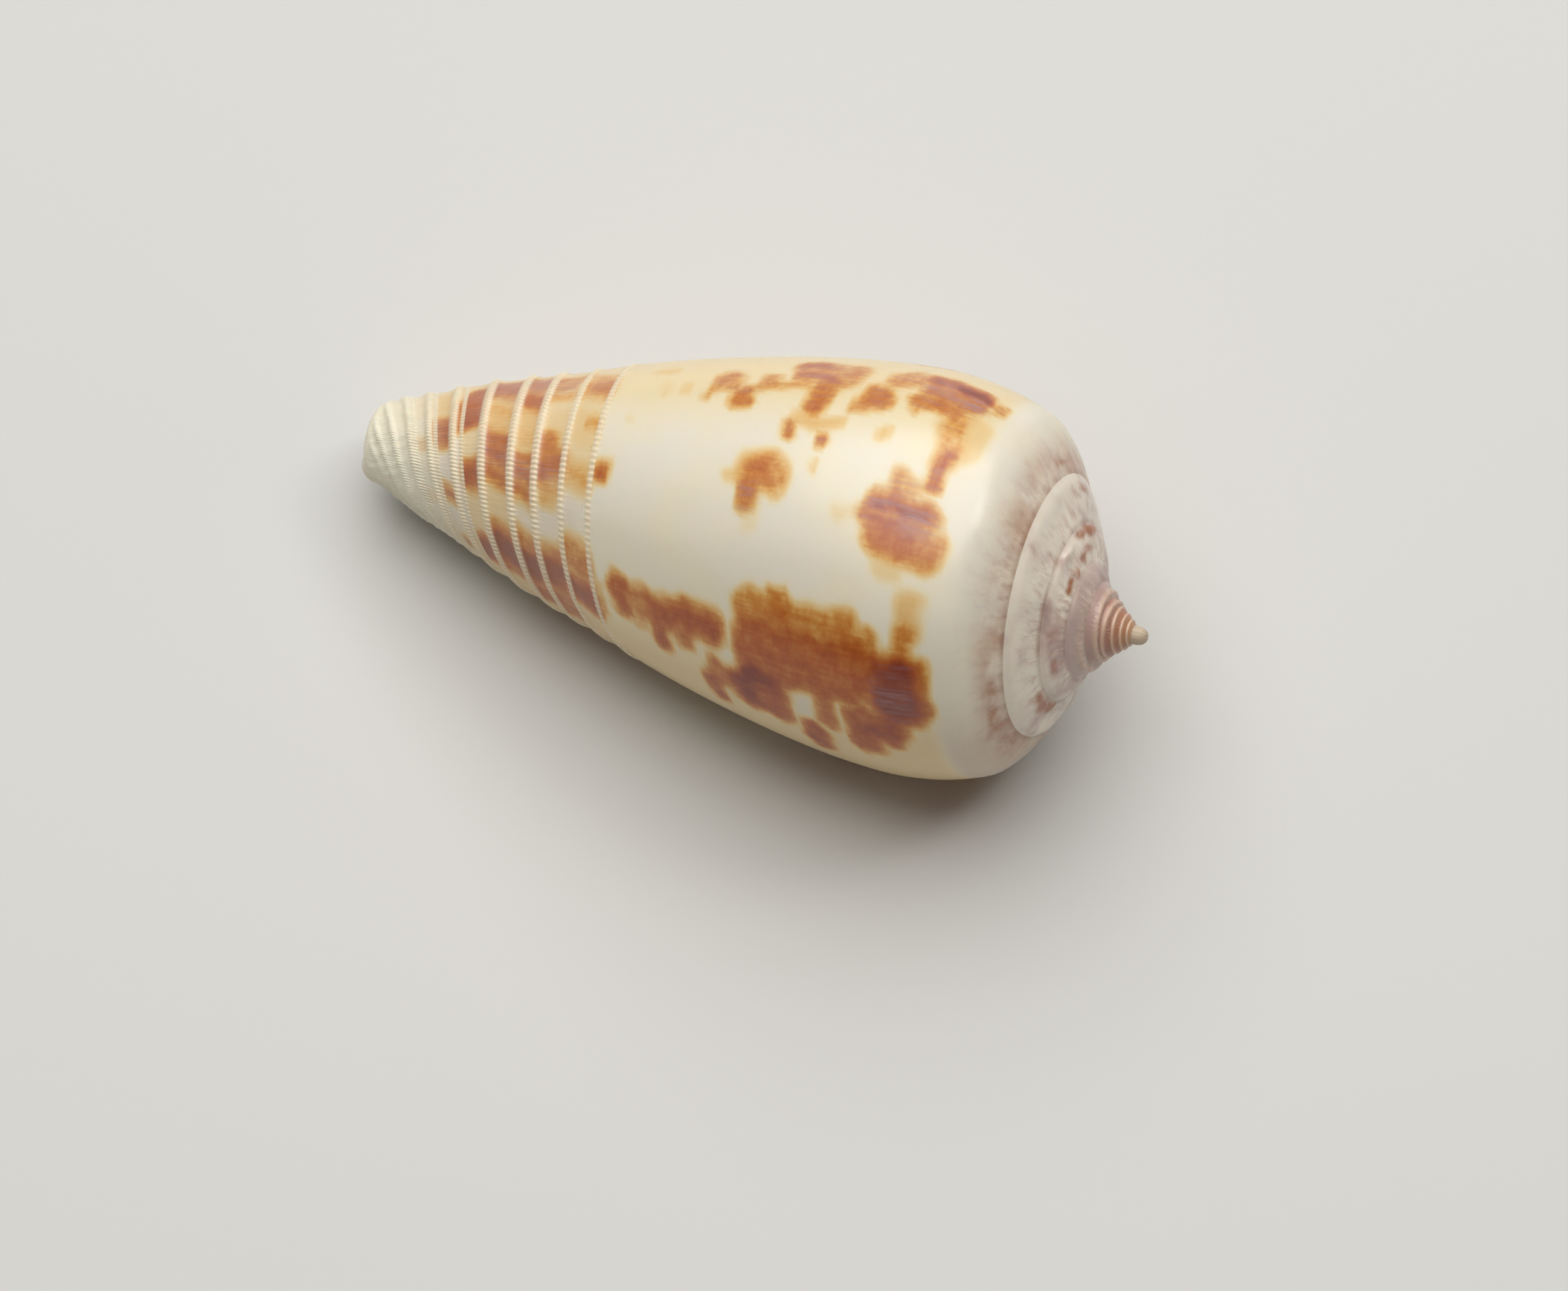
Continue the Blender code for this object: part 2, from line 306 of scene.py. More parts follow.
def keel_shape(turn, at):
    """1 on the keel of the young whorls and 0 off it."""
    place = KEEL_AT[0] + (KEEL_AT[1] - KEEL_AT[0]) * smooth((turn - KEEL_MOVES_TURN) / 0.6)
    return np.exp(-((at - place) / KEEL_WIDTH) ** 2) * youth_of(turn)


def body_relief(turn, length):
    """Height of the surface over the rule on the body, in mm."""
    rise = rib_shape(length)[1]
    channel = CHANNEL_DEPTH * smooth((length - RIB_ZONE) / 4)
    waves = WAVE_RISE * wander_over(turn * WAVES_PER_TURN, length / 9, 11)
    wrinkles = wander_over(turn * WRINKLES_PER_TURN + length * 1.2, length / 1.4, 12)
    rough = WRINKLE_RISE * wrinkles * smooth((length - WRINKLES_FROM) / 4)
    fade = smooth((end_length(turn) - length) / FADE)
    return (rise - channel + waves + rough) * fade


def ramp_relief(turn, at):
    """The same on the ramps, where at runs from 0 at the suture to 1 at the next one."""
    width = np.linalg.norm(suture(turn + 1) - suture(turn), axis=-1)
    edge = np.sin(math.pi * np.clip(at, 0, 1)) ** 0.6
    young = youth_of(turn)
    keel = KEEL_RISE * young * keel_shape(turn, at)
    older = smooth((-0.45 - turn) / 0.3) * (1 - young)
    folds = wander_over(turn * PUCKERS_PER_TURN, at * 1.5, 21)
    lumps = wander_over(turn * LUMPS_PER_TURN, at * 2.2, 22)
    puckers = PUCKER_RISE * older * (folds * np.exp(-at * 3) + LUMP_SHARE * lumps)
    last = LAST_PUCKER_RISE * (1 - older) * (1 - young) * folds * np.exp(-at * 3)
    brow_shape = np.exp(-((at - BROW_AT) / BROW_WIDTH) ** 2)
    brow = BROW_RISE * (1 - young) * brow_shape * smooth((-turn - 0.3) / 0.3)
    rise = width * keel + puckers + last + brow
    for knob_turn, knob_at, knob_rise in KNOBS:
        round_mm = (turn - knob_turn) * 2 * math.pi * suture(turn)[..., 0]
        away = np.hypot(round_mm, (at - knob_at) * width)
        rise = rise + knob_rise * np.exp(-(away / KNOB_RADIUS) ** 2)
    return edge * rise


print("relief on a rib:", body_relief(np.array(0.0), np.array(33.5)).round(3), "mm")

# %% [markdown]
# Every sheet of the wall starts as a flat grid and is then rolled up: each corner of the
# grid is sent to its turn and its place down the wall. Blender's grid operator makes the
# faces. Two layers go onto the sheet while it is still known where everything is: a UV map
# that holds the turn and the length, and a colour layer for the marks.

# %% A sheet that is rolled up
STEPS_PER_TURN = 216
LIP_STEP = round(LIP_TURN * STEPS_PER_TURN)

bm = bmesh.new()
growth_map = bm.loops.layers.uv.new("growth")
marks_map = bm.loops.layers.float_color.new("marks")


def on_axis(places, turn):
    """Points of space from radii and heights, at turns round the axis."""
    angle = 2 * math.pi * turn
    radius, height = places[..., 0], places[..., 1]
    return np.stack([radius * np.cos(angle), radius * np.sin(angle), height], -1)


def across(values, points):
    """One value a column, spread over all the rows of a sheet of points."""
    return np.broadcast_to(values[:, None], points.shape[:2])


def add_sheet(points, turns, lengths, marks):
    """Adds a sheet through rows and columns of points, with its maps. Returns its faces."""
    columns, rows = points.shape[:2]
    made = bmesh.ops.create_grid(bm, x_segments=columns - 1, y_segments=rows - 1, size=0.5)
    sheet = {}
    for vert in made["verts"]:
        column = round((vert.co.x + 0.5) * (columns - 1))
        row = round((vert.co.y + 0.5) * (rows - 1))
        sheet[vert] = column, row
        vert.co = points[column, row]
    faces = list({face for vert in made["verts"] for face in vert.link_faces})
    for face in faces:
        for loop in face.loops:
            spot = sheet[loop.vert]
            loop[growth_map].uv = turns[spot], lengths[spot]
            loop[marks_map] = marks[spot]
    return faces


print(STEPS_PER_TURN, "columns a turn,", LIP_STEP, "of them over the slit")

# %% [markdown]
# The pigment. The mantle lays brown down in spiral rows of blotches, and the photograph
# shows one side of them. A blotch is a soft box: where it starts and stops in mm down the
# wall, where it starts and stops in thousandths of a turn, how dark it is and how purple,
# both in percent. The far side can't be seen, so it has blotches of the same kinds, placed
# freely in the same rows. Last come a few spots where the stain is thin or missing.

# %% Blotches: shoulder and middle
def blotch(start, stop, low, high, depth, purple=0):
    """A blotch in mm, turns and parts of one."""
    return start, stop, low / 1000, high / 1000, depth / 100, purple / 100


SHOULDER_ROW = [
    (1.1, 1.9, 174, 196, 46, 40), (2.2, 6.4, 182, 204, 72, 40), (2.2, 4.6, 185, 197, 96, 40),
    (2.3, 6.2, 162, 187, 56, 100), (6, 8.6, 168, 206, 44, 40), (1.2, 4.3, 102, 166, 22),
    (2.3, 4.3, 126, 166, 34, 20), (3.4, 6.2, 144, 168, 50, 40), (5.4, 6.4, 136, 160, 42, 40),
    (7.2, 9.3, 136, 170, 52, 40), (8.2, 9.6, 126, 150, 44, 40), (2.2, 3.9, 90, 136, 38, 10),
    (2.5, 3.5, 70, 114, 66, 50), (3.4, 5.6, 56, 83, 38, 50), (2, 6.7, 33, 63, 66, 70),
    (2.5, 6.3, 44, 55, 84, 50), (2.8, 6.4, 35, 41, 80, 70), (1.3, 6.3, 7, 42, 50),
    (2.8, 6, 12, 40, 58), (3.3, 5.8, -7, 12, 19), (6.2, 7.3, 102, 121, 26), (6.4, 8.6, 35, 51, 15),
    (9.8, 10.7, 91, 107, 56, 40), (10, 10.6, 66, 84, 24), (9, 12.9, 107, 125, 27, 10),
]
MIDDLE_ROW = [
    (9.6, 14.3, 158, 207, 46, 40), (11, 14.1, 166, 178, 72, 80), (12, 14.3, 184, 205, 62, 40),
    (10.8, 12.4, 121, 166, 56, 40), (12.4, 15.2, 145, 163, 36, 20), (12.2, 13.2, 91, 112, 50, 40),
    (11.7, 15, 41, 79, 42, 10), (12.5, 14.5, 44, 74, 56, 10), (13.5, 14.6, 25, 54, 54, 60),
    (14.5, 15.9, 45, 59, 24), (13, 14, 4, 40, 13), (14.6, 15.9, 142, 173, 40, 40),
    (15.5, 17, 121, 153, 54, 40), (16.8, 18.7, 139, 178, 44, 40), (18, 18.8, 130, 170, 36, 20),
    (19.6, 20.7, 138, 167, 22), (20.9, 22, 132, 171, 18), (21.2, 23.1, 170, 197, 24),
    (22.6, 23.5, 96, 115, 14), (23.4, 24.9, 37, 60, 34), (23.8, 24.9, 34, 55, 66, 30),
]
print(len(SHOULDER_ROW) + len(MIDDLE_ROW), "blotches towards the top side")

# %% Blotches: the lower band
LOWER_BAND = [
    (1.9, 3.7, -56, -6, 27), (2.2, 3.7, -63, -32, 50), (4.4, 5.3, -80, -44, 46),
    (5.6, 14.1, -76, -35, 47), (10.3, 11.8, -60, -24, 52), (4, 14.2, -119, -56, 66),
    (1.3, 5.2, -136, -57, 64), (1.9, 4.7, -130, -64, 90, 30), (2.3, 5, -119, -90, 88, 60),
    (3, 5.6, -161, -121, 76, 10), (4.8, 7.1, -180, -117, 72), (7.6, 9, -152, -111, 60),
    (8.6, 10.4, -200, -150, 78), (10.6, 14.4, -166, -104, 74), (11.4, 14.3, -130, -104, 90),
    (13, 15, -166, -111, 86), (14.5, 16.7, -151, -109, 60), (15.7, 17.3, -180, -135, 74),
    (14.8, 22.2, -104, -61, 52), (14.8, 20.7, -99, -67, 68), (22, 23.7, -108, -57, 68),
    (17.4, 18.8, -121, -94, 56), (19.2, 20.7, -129, -91, 74), (20.8, 22.2, -119, -90, 32),
    (24.1, 24.9, -120, -73, 34),
]
print(len(LOWER_BAND), "blotches in the lower band")

# %% Blotches: between the ribs
RIB_ROWS = [
    (25.1, 27.1, 128, 197, 36), (25.2, 26.4, 138, 180, 52, 30), (25.1, 27.1, 56, 130, 20),
    (25.1, 27.1, 16, 57, 34), (25.3, 26, 88, 112, 38), (25.1, 27.1, -86, -38, 50),
    (25.1, 27.1, -130, -82, 88, 20), (27.4, 29.2, 134, 170, 38), (27.4, 29.2, 183, 203, 60, 30),
    (28, 29.2, 163, 190, 50, 100), (27.4, 29.2, 60, 136, 18), (28.2, 29.2, 56, 98, 56, 10),
    (27.4, 29.2, 27, 67, 66, 30), (27.4, 29.2, 30, 50, 66, 100), (27.4, 28.7, -2, 30, 36),
    (27.4, 29.2, -72, -52, 50), (27.4, 29.2, -117, -67, 94, 20), (27.7, 29.1, -178, -113, 62, 10),
    (29.6, 31.1, 165, 222, 61, 80), (29.6, 31.1, 121, 170, 69, 30), (29.6, 31.1, 64, 124, 28),
    (29.6, 31.1, 48, 65, 83, 10), (29.6, 31.1, 21, 52, 71, 90), (29.6, 31.1, -1, 24, 69),
    (29.6, 31.1, -15, 1, 28), (29.6, 31.1, -72, -44, 61), (29.6, 31.1, -126, -67, 100, 20),
    (29.6, 31, -176, -120, 71, 10), (31.5, 33.2, 147, 214, 71, 100), (31.5, 33.2, 88, 148, 31),
    (31.5, 33.2, 50, 90, 71, 30), (31.5, 33.2, 26, 62, 79, 100), (31.5, 33.2, -1, 30, 71),
    (31.5, 33.2, -56, 0, 17), (31.5, 33.2, -77, -55, 63), (31.5, 33.2, -132, -70, 100, 20),
    (31.5, 33.1, -156, -128, 69, 10), (33.8, 34.9, 97, 197, 75, 30), (33.8, 34.9, 97, 132, 78, 30),
    (33.8, 34.9, 40, 100, 15), (33.8, 34.9, -14, 41, 79, 20), (33.8, 34.8, -92, -12, 16),
    (33.8, 34.9, -147, -88, 90, 20), (35.2, 35.5, 90, 165, 55), (36.1, 37, 62, 128, 74, 10),
    (36.1, 37, 130, 220, 24), (36.1, 36.9, -42, -10, 66), (36, 36.8, -152, -114, 62, 10),
    (37.9, 38.7, 52, 82, 44), (37.9, 38.5, -70, -30, 20),
]
print(len(RIB_ROWS), "blotches between the ribs")

# %% Blotches: the far side and the spire
FAR_SIDE = [
    (2, 7.5, -330, -270, 50, 10), (2.4, 6.4, -318, -282, 82, 60), (2.4, 6, -352, -322, 34),
    (8.5, 12.8, -348, -288, 50, 10), (9.4, 12.4, -330, -300, 72, 30),
    (11.5, 16.4, -302, -258, 58, 10), (17.9, 23.6, -350, -300, 46, 10),
    (19.1, 22.6, -338, -312, 70, 10), (25.1, 31.1, -348, -280, 50, 10),
    (25.1, 31.1, -332, -292, 84, 40), (31.5, 34.9, -330, -266, 70, 30),
    (1.8, 8.2, -502, -428, 48, 10), (2.6, 7.4, -484, -440, 80, 70), (3, 6, -428, -402, 34),
    (9.2, 15.8, -522, -450, 50, 10), (10.4, 14.2, -500, -466, 72, 20),
    (19.5, 23.2, -482, -438, 52, 10), (25.1, 33.2, -502, -438, 72, 40),
    (2.2, 6.8, 258, 318, 48, 10), (2.8, 6, 268, 304, 80, 70), (5.2, 8.8, 238, 286, 46, 10),
    (10.2, 14.6, 284, 348, 48, 10), (11, 13.8, 298, 330, 68, 30), (13.6, 17.4, 260, 302, 44, 10),
    (19.5, 23.2, 250, 292, 34), (25.1, 31.1, 250, 314, 60, 50), (31.5, 34.9, 278, 337, 64, 40),
    (1.9, 7.4, 362, 427, 50, 10), (2.6, 6.2, 376, 412, 78, 60), (8.6, 13.6, 390, 440, 56, 20),
    (18.2, 22.8, 342, 397, 50, 10), (25.1, 29.2, 358, 418, 66, 30), (29.6, 34.9, 376, 427, 60, 40),
    (35.9, 37, 290, 330, 55, 10),
]
SPIRE = [
    (-1, -0.1, -1828, -1722, 60), (-2.7, -1.7, -1858, -1772, 50, 60),
    (-3.2, -2.4, -1948, -1872, 60), (-3.1, -1.9, -1258, -1162, 50), (-1.6, -0.6, -788, -722, 42),
    (-3.3, -1.7, -240, -90, 30), (-2.4, -0.6, -1668, -1592, 42, 50), (-1.4, -0.4, -1438, -1352, 50),
    (-3, -2.2, -1568, -1492, 42), (-3.2, -2.2, -660, -620, 42), (-3.2, -2.4, 190, 250, 30),
    (-3.2, -2.3, -370, -320, 32), (-2.2, -0.8, -2148, -2032, 30, 60),
    (-3.2, -1.6, -2480, -2360, 36, 60),
]
ROWS = SHOULDER_ROW + MIDDLE_ROW + LOWER_BAND + RIB_ROWS + FAR_SIDE + SPIRE
BLOTCHES = [blotch(*row) for row in ROWS]
THIN_ROWS = [
    (8.8, 10.2, -150, -118, 52), (14.2, 15.4, -120, -105, 60), (2.3, 6.4, 41.5, 45.5, 35),
    (5, 5.7, -137, -128, 25),
]
CLEAR_SPOTS = [blotch(*row) for row in THIN_ROWS]
print(len(BLOTCHES), "blotches in all")

# %% [markdown]
# The blotches become one field of stain, from 0 on clean shell to 1 in the darkest core.
# Before that, the field's own lines are bent a little, in lobes about 1 mm wide, because
# each row of pigment cells in the mantle starts and stops on its own. Edges are soft, as
# the pigment lies at several depths in the wall, and a faint wash goes round every blotch
# and over both sides of the shell; on the lower side it is stronger, and that part is
# painted shade. Between the ribs a blotch is steeper and reaches a little under the ribs,
# whose pale crests then cut it off.

# %% The stain field
TURN_MM = 66
TURN_MM_LOSS = 1.1
SPIRE_TURN_MM = 38
RIB_STEEPNESS, RIB_REACH = 3, 0.35
EDGE_MM = 1.2
SMALL_EDGE = 0.40
EXTRA_EDGE_MM = 0.5
CLEAR_EDGE_MM = 0.8
BLEND = 4
ROUNDING = 0.8
WASH_MM = 3.5
WASH_DEPTH = 0.13
# The third of these, for the lower side, is painted shade; the others are the shell's own faint wash.
SIDE_WASH, FAR_WASH, LOW_PAINTED_SHADE, TOP_WASH = 0.12, 0.05, 0.06, 0.04
LOBE_TURN, FINE_LOBE_TURN = 0.0036, 0.0030
RIB_LOBE_GAIN = 1.6
BEND_MM = 0.30


def gap_to(box, turn, length):
    """How far outside a blotch with rounded corners each place is, in mm."""
    start, stop, low, high = box[:4]
    steep, reach = (RIB_STEEPNESS, RIB_REACH) if start > RIB_ZONE else (1, 0)
    round_mm = TURN_MM - TURN_MM_LOSS * start if start > 0 else SPIRE_TURN_MM
    half_down, half_across = ((stop - start) / 2 + reach) * steep, (high - low) / 2 * round_mm
    corner = ROUNDING * min(half_down, half_across)
    down = np.abs(length - (start + stop) / 2) * steep - half_down + corner
    across = np.abs(turn - (low + high) / 2) * round_mm - half_across + corner
    outside = np.hypot(np.maximum(down, 0), np.maximum(across, 0))
    return outside + np.minimum(np.maximum(down, across), 0) - corner


def stain_field(turn, length):
    """Stain, with painted shade on the lower side, and purple at each place on the body."""
    lobes = LOBE_TURN * wander(length, 31) + FINE_LOBE_TURN * wander_over(turn * 36, length / 0.8, 32)
    bent_turn = turn + lobes * (1 + RIB_LOBE_GAIN * smooth((length - RIB_ZONE) / 3))
    before_ribs = 1 - smooth((length - RIB_ZONE) / 0.4)
    bent_length = length + BEND_MM * wander_over(turn * 60, length / 1.3, 33) * before_ribs
    stain, purple = np.zeros((2,) + turn.shape)
    sides = smooth((np.abs(turn - 0.01) - 0.04) / 0.10)
    # Painted shade: a warm tan on the lower side, where the underside turns from the light.
    below = smooth((-0.09 - turn) / 0.08) * smooth((turn + 0.36) / 0.08)
    far = smooth((np.abs(turn) - 0.24) / 0.08)
    above = smooth((turn - 0.1) / 0.1)
    wash_and_low_shade = SIDE_WASH * sides - FAR_WASH * far + LOW_PAINTED_SHADE * below + TOP_WASH * above
    wash_and_low_shade = wash_and_low_shade * smooth(length / 2)
    for box in BLOTCHES:
        gap = gap_to(box, bent_turn, bent_length)
        smaller_side = min(box[1] - box[0], (box[3] - box[2]) * TURN_MM)
        edge = min(EDGE_MM, SMALL_EDGE * smaller_side + SMALL_EDGE)
        edge = edge + EXTRA_EDGE_MM * (box[0] > RIB_ZONE or box[0] < 0)
        inside = smooth(0.5 - gap / edge)
        stain += (inside * box[4]) ** BLEND
        purple = np.maximum(purple, inside * box[5])
        if 0 < box[0] < RIB_ZONE:
            wash_and_low_shade = np.maximum(wash_and_low_shade, smooth(0.5 - gap / WASH_MM) * WASH_DEPTH)
    stain = np.maximum(stain ** (1 / BLEND), wash_and_low_shade)
    for box in CLEAR_SPOTS:
        gap = gap_to(box, bent_turn, bent_length)
        stain = stain * (1 - box[4] * smooth(0.5 - gap / CLEAR_EDGE_MM))
    return np.minimum(stain, 1), purple


print("stain in the dark core:", stain_field(np.array(-0.105), np.array(3.8))[0].round(2))

# %% [markdown]
# The last whorl shows nearly all of the shell. Its rows lie close together over the ribs,
# so that every rib has a round crest, and wider apart on the smooth part. Rows near the
# narrow end share out whatever length is left there.

# %% Rows of the last whorl
RAMP_ROWS = 9
LIP_FREE_ROW = 6
CORNER_ROW = 4
SMOOTH_PITCH = 0.36375
FIXED_END = 37.9
FREE_ROWS = 38
FINE_PITCH = 0.095
WIDE_PITCH = 0.30

smooth_rows = np.arange(0, RIB_ZONE, SMOOTH_PITCH)
probe = np.linspace(smooth_rows[-1] + SMOOTH_PITCH, FIXED_END, 2000)
crowding = 1 / WIDE_PITCH + (1 / FINE_PITCH - 1 / WIDE_PITCH) * rib_shape(probe)[0]
count = np.concatenate([[0], np.cumsum((crowding[1:] + crowding[:-1]) / 2 * np.diff(probe))])
rib_rows = np.interp(np.linspace(0, count[-1], round(count[-1]) + 1), count, probe)
FIXED_ROWS = np.concatenate([smooth_rows, rib_rows])


def body_lengths(turn):
    """Outline lengths of all the body rows, one row of them for each turn."""
    turn = np.asarray(turn, float)
    fixed = np.broadcast_to(FIXED_ROWS, turn.shape + FIXED_ROWS.shape)
    parts = np.arange(1, FREE_ROWS + 1) / FREE_ROWS
    free = FIXED_END + (end_length(turn) - FIXED_END)[..., None] * parts
    return np.concatenate([fixed, free], -1)


print(len(FIXED_ROWS) + FREE_ROWS, "rows on the body")

# %% [markdown]
# The lip isn't straight: it is notched at the suture and draws back at the narrow end. So
# the last stretch of every row is pulled back in turn, smoothly. Then the outer wall of
# the whorl is a single sheet, ramp and body together. Its rows are labelled with the
# outline length, and on the ramp with -3.4 at the suture up to 0 at the shoulder.

# %% The outside of the last whorl
SUTURE_NOTCH_TURN = 0.03
BASE_RETREAT_TURN = 0.05
BASE_RETREAT_FROM = 0.72
SHIFT_STRETCH = 0.33
END_LENGTH = float(end_length(np.array(0.0)))
RAMP_LABEL = 3.4
STEM_GAP = 0.02


def drawn_back(turn, shift):
    """Turns moved back by the lip's own shift, over the last stretch before the lip."""
    return turn - shift * smooth(1 - (LIP_TURN - turn) / SHIFT_STRETCH)


def outward(places):
    """Unit vectors that point out of the wall, from places that run down it."""
    along = np.gradient(places, axis=-2)
    along /= np.maximum(np.linalg.norm(along, axis=-1, keepdims=True), 1e-9)
    return np.stack([along[..., 1], -along[..., 0]], -1)


def outer_wall(columns):
    """Smooth places, turns, lengths and relief of the outer wall at some columns."""
    turn = np.asarray(columns, float)
    at = np.arange(RAMP_ROWS) / RAMP_ROWS
    ramp_turn = drawn_back(turn[:, None], SUTURE_NOTCH_TURN * np.sin(math.pi * at) ** 2)
    ramp_at = np.broadcast_to(at, ramp_turn.shape)
    lengths = body_lengths(turn)
    bend = smooth((lengths / END_LENGTH - BASE_RETREAT_FROM) / (1 - BASE_RETREAT_FROM))
    body_turn = drawn_back(turn[:, None], BASE_RETREAT_TURN * bend)
    lengths = lengths + (end_length(body_turn[:, -1:]) - lengths[:, -1:]) * bend
    places = np.concatenate([ramp(ramp_turn, ramp_at), body(body_turn, lengths)], 1)
    relief = np.concatenate([ramp_relief(ramp_turn, ramp_at), body_relief(body_turn, lengths)], 1)
    turns = np.concatenate([ramp_turn, body_turn], 1)
    labels = np.concatenate([RAMP_LABEL * (ramp_at - 1), lengths], 1)
    return places, turns, labels, relief


def marks_at(turns, labels, inside=0.0):
    """The colour layer: stain, purple, rib crest, and whether it is the shell's inside."""
    stain, purple = stain_field(turns, labels)
    crest = rib_shape(labels)[0] * smooth((labels - RIB_ZONE) / 0.2)
    crest = np.where(labels < 0, keel_shape(turns, labels / RAMP_LABEL + 1), crest)
    return np.stack([stain, purple, crest, np.full(turns.shape, inside)], -1)


whorl_turns = np.arange(LIP_STEP - STEPS_PER_TURN, LIP_STEP + 1) / STEPS_PER_TURN
outer, outer_turns, outer_labels, outer_relief = outer_wall(whorl_turns)
raised = outer + outward(outer) * outer_relief[..., None]
stem_radius = float(pillar(PILLAR_END))
raised[:, -1, 0] = np.where(raised[:, -1, 0] - stem_radius < STEM_GAP, stem_radius, raised[:, -1, 0])
outer_points = on_axis(raised, outer_turns)
add_sheet(outer_points, outer_turns, outer_labels, marks_at(outer_turns, outer_labels))
print("outer wall:", outer_points.shape[:2], "points")

# %% [markdown]
# The spire is all the earlier ramps in one long strip, wound from the apex. Its outer row
# falls on the next whorl's first row, because both are the suture. A rounded cap, a little
# squarer than a ball, is the nucleus: the shell that the animal hatched with.

# %% The spire and its nucleus
NUCLEUS_SQUARENESS = 2.6
NUCLEUS_ROWS = 6

spire_steps = np.arange((FIRST_TURN - 1) * STEPS_PER_TURN, LIP_STEP - STEPS_PER_TURN + 1)
spire_at = np.broadcast_to(np.linspace(0, 1, RAMP_ROWS + 1), (len(spire_steps), RAMP_ROWS + 1))
spire_turns = across(spire_steps / STEPS_PER_TURN, spire_at)
spire = ramp(spire_turns, spire_at)
spire = spire + outward(spire) * ramp_relief(spire_turns, spire_at)[..., None]
spire_points = on_axis(spire, spire_turns)
spire_labels = RAMP_LABEL * (spire_at - 1)
add_sheet(spire_points, spire_turns, spire_labels, marks_at(spire_turns, spire_labels))

cap_steps = np.arange(STEPS_PER_TURN + 1)
cap_angle = np.linspace(0, math.pi / 2, NUCLEUS_ROWS + 1)
cap_angle = np.broadcast_to(cap_angle, (len(cap_steps), len(cap_angle)))
cap_turns = across(cap_steps / STEPS_PER_TURN, cap_angle)
cap_radius = SUTURE[-1][0] * np.abs(np.cos(cap_angle)) ** (2 / NUCLEUS_SQUARENESS)
cap_radius[:, -1] = 0
cap_height = SUTURE[-1][1] * (1 - np.sin(cap_angle) ** (2 / NUCLEUS_SQUARENESS))
cap_labels = np.full(cap_turns.shape, -RAMP_LABEL / 2)
cap_points = on_axis(np.stack([cap_radius, cap_height], -1), cap_turns)
add_sheet(cap_points, cap_turns + FIRST_TURN - 2, cap_labels, marks_at(cap_turns - 20, cap_labels))
print("spire:", spire_points.shape[:2], "points")

# %% [markdown]
# Behind the lip the shell is open: a long slit between the outer wall and the whorl under
# it. Two more sheets line it, the inside of the outer wall and the parietal wall, which is
# the last whorl's own outside carried on under the lip. The wall is square to the outside,
# and turns to face the axis over the last millimetre, where the narrow end cuts it off.
# Nothing in there is stained, so its marks are looked up 9 turns on, past every blotch.

# %% The walls of the slit
WALL = 0.95
END_THINNING = 0.4
THINNING_FROM = 0.7
THINNING_STRETCH = 0.3
SQUARE_FROM = 1.5
SQUARE_FADE = 1.2
PLAIN = 9


def unit(vectors):
    """Vectors of length 1."""
    return vectors / np.linalg.norm(vectors, axis=-1, keepdims=True)


slit_turns = np.arange(LIP_STEP + 1) / STEPS_PER_TURN
slit_outer, slit_angle, slit_labels = outer_wall(slit_turns)[:3]
down = np.linspace(0, 1, slit_outer.shape[1])
thinned = 1 - END_THINNING * smooth((down - THINNING_FROM) / THINNING_STRETCH)
wall = WALL * GROWTH ** slit_turns[:, None] * thinned
to_end = slit_labels[:, -1:] - slit_labels
sideways = smooth((SQUARE_FROM - to_end) / SQUARE_FADE)[..., None]
wall_way = unit(outward(slit_outer) * (1 - sideways) + np.array([1.0, 0.0]) * sideways)
inner = slit_outer - wall_way * wall[..., None]

under_lengths = body_lengths(slit_turns - 1)
under = across(slit_turns - 1, under_lengths)
parietal = body(under, under_lengths)
parietal = parietal + outward(parietal) * body_relief(under, under_lengths)[..., None]
parietal = parietal[:, CORNER_ROW:]
parietal_turns = across(slit_turns, parietal)
parietal_points = on_axis(parietal, parietal_turns)

inner_points = on_axis(inner, slit_angle)[:, LIP_FREE_ROW:]
inner_points = np.concatenate([parietal_points[:, :1], inner_points], 1)
inner_turns = np.concatenate([parietal_turns[:, :1], slit_angle[:, LIP_FREE_ROW:]], 1)
inner_labels = np.concatenate([slit_labels[:, :1], slit_labels[:, LIP_FREE_ROW:]], 1)
inner_marks = marks_at(inner_turns + PLAIN, inner_labels, 1.0)
lining = add_sheet(inner_points, inner_turns, inner_labels, inner_marks)
parietal_marks = marks_at(parietal_turns + PLAIN, under_lengths[:, CORNER_ROW:], 1.0)
lining += add_sheet(parietal_points, parietal_turns - 1, under_lengths[:, CORNER_ROW:], parietal_marks)
print("slit:", inner_points.shape[:2], "points inside the lip")

# %% [markdown]
# The lip and the cut edge at the narrow end are half round. One sheet goes over both: it
# follows the lip down and then the end back round to where the slit starts, and each of
# its rows is a half circle from the outer surface over to the inner one.

# %% The lip's edge
RIM_ROWS = 6


def rim(outside, inside, forward):
    """Half circles from points outside over to points inside, bulging forward."""
    middle, arm = (outside + inside) / 2, (outside - inside) / 2
    angle = np.linspace(0, math.pi, RIM_ROWS + 1)[:, None]
    reach = np.linalg.norm(arm, axis=-1, keepdims=True) * forward
    return (middle[..., None, :] + arm[..., None, :] * np.cos(angle)
            + reach[..., None, :] * np.sin(angle))


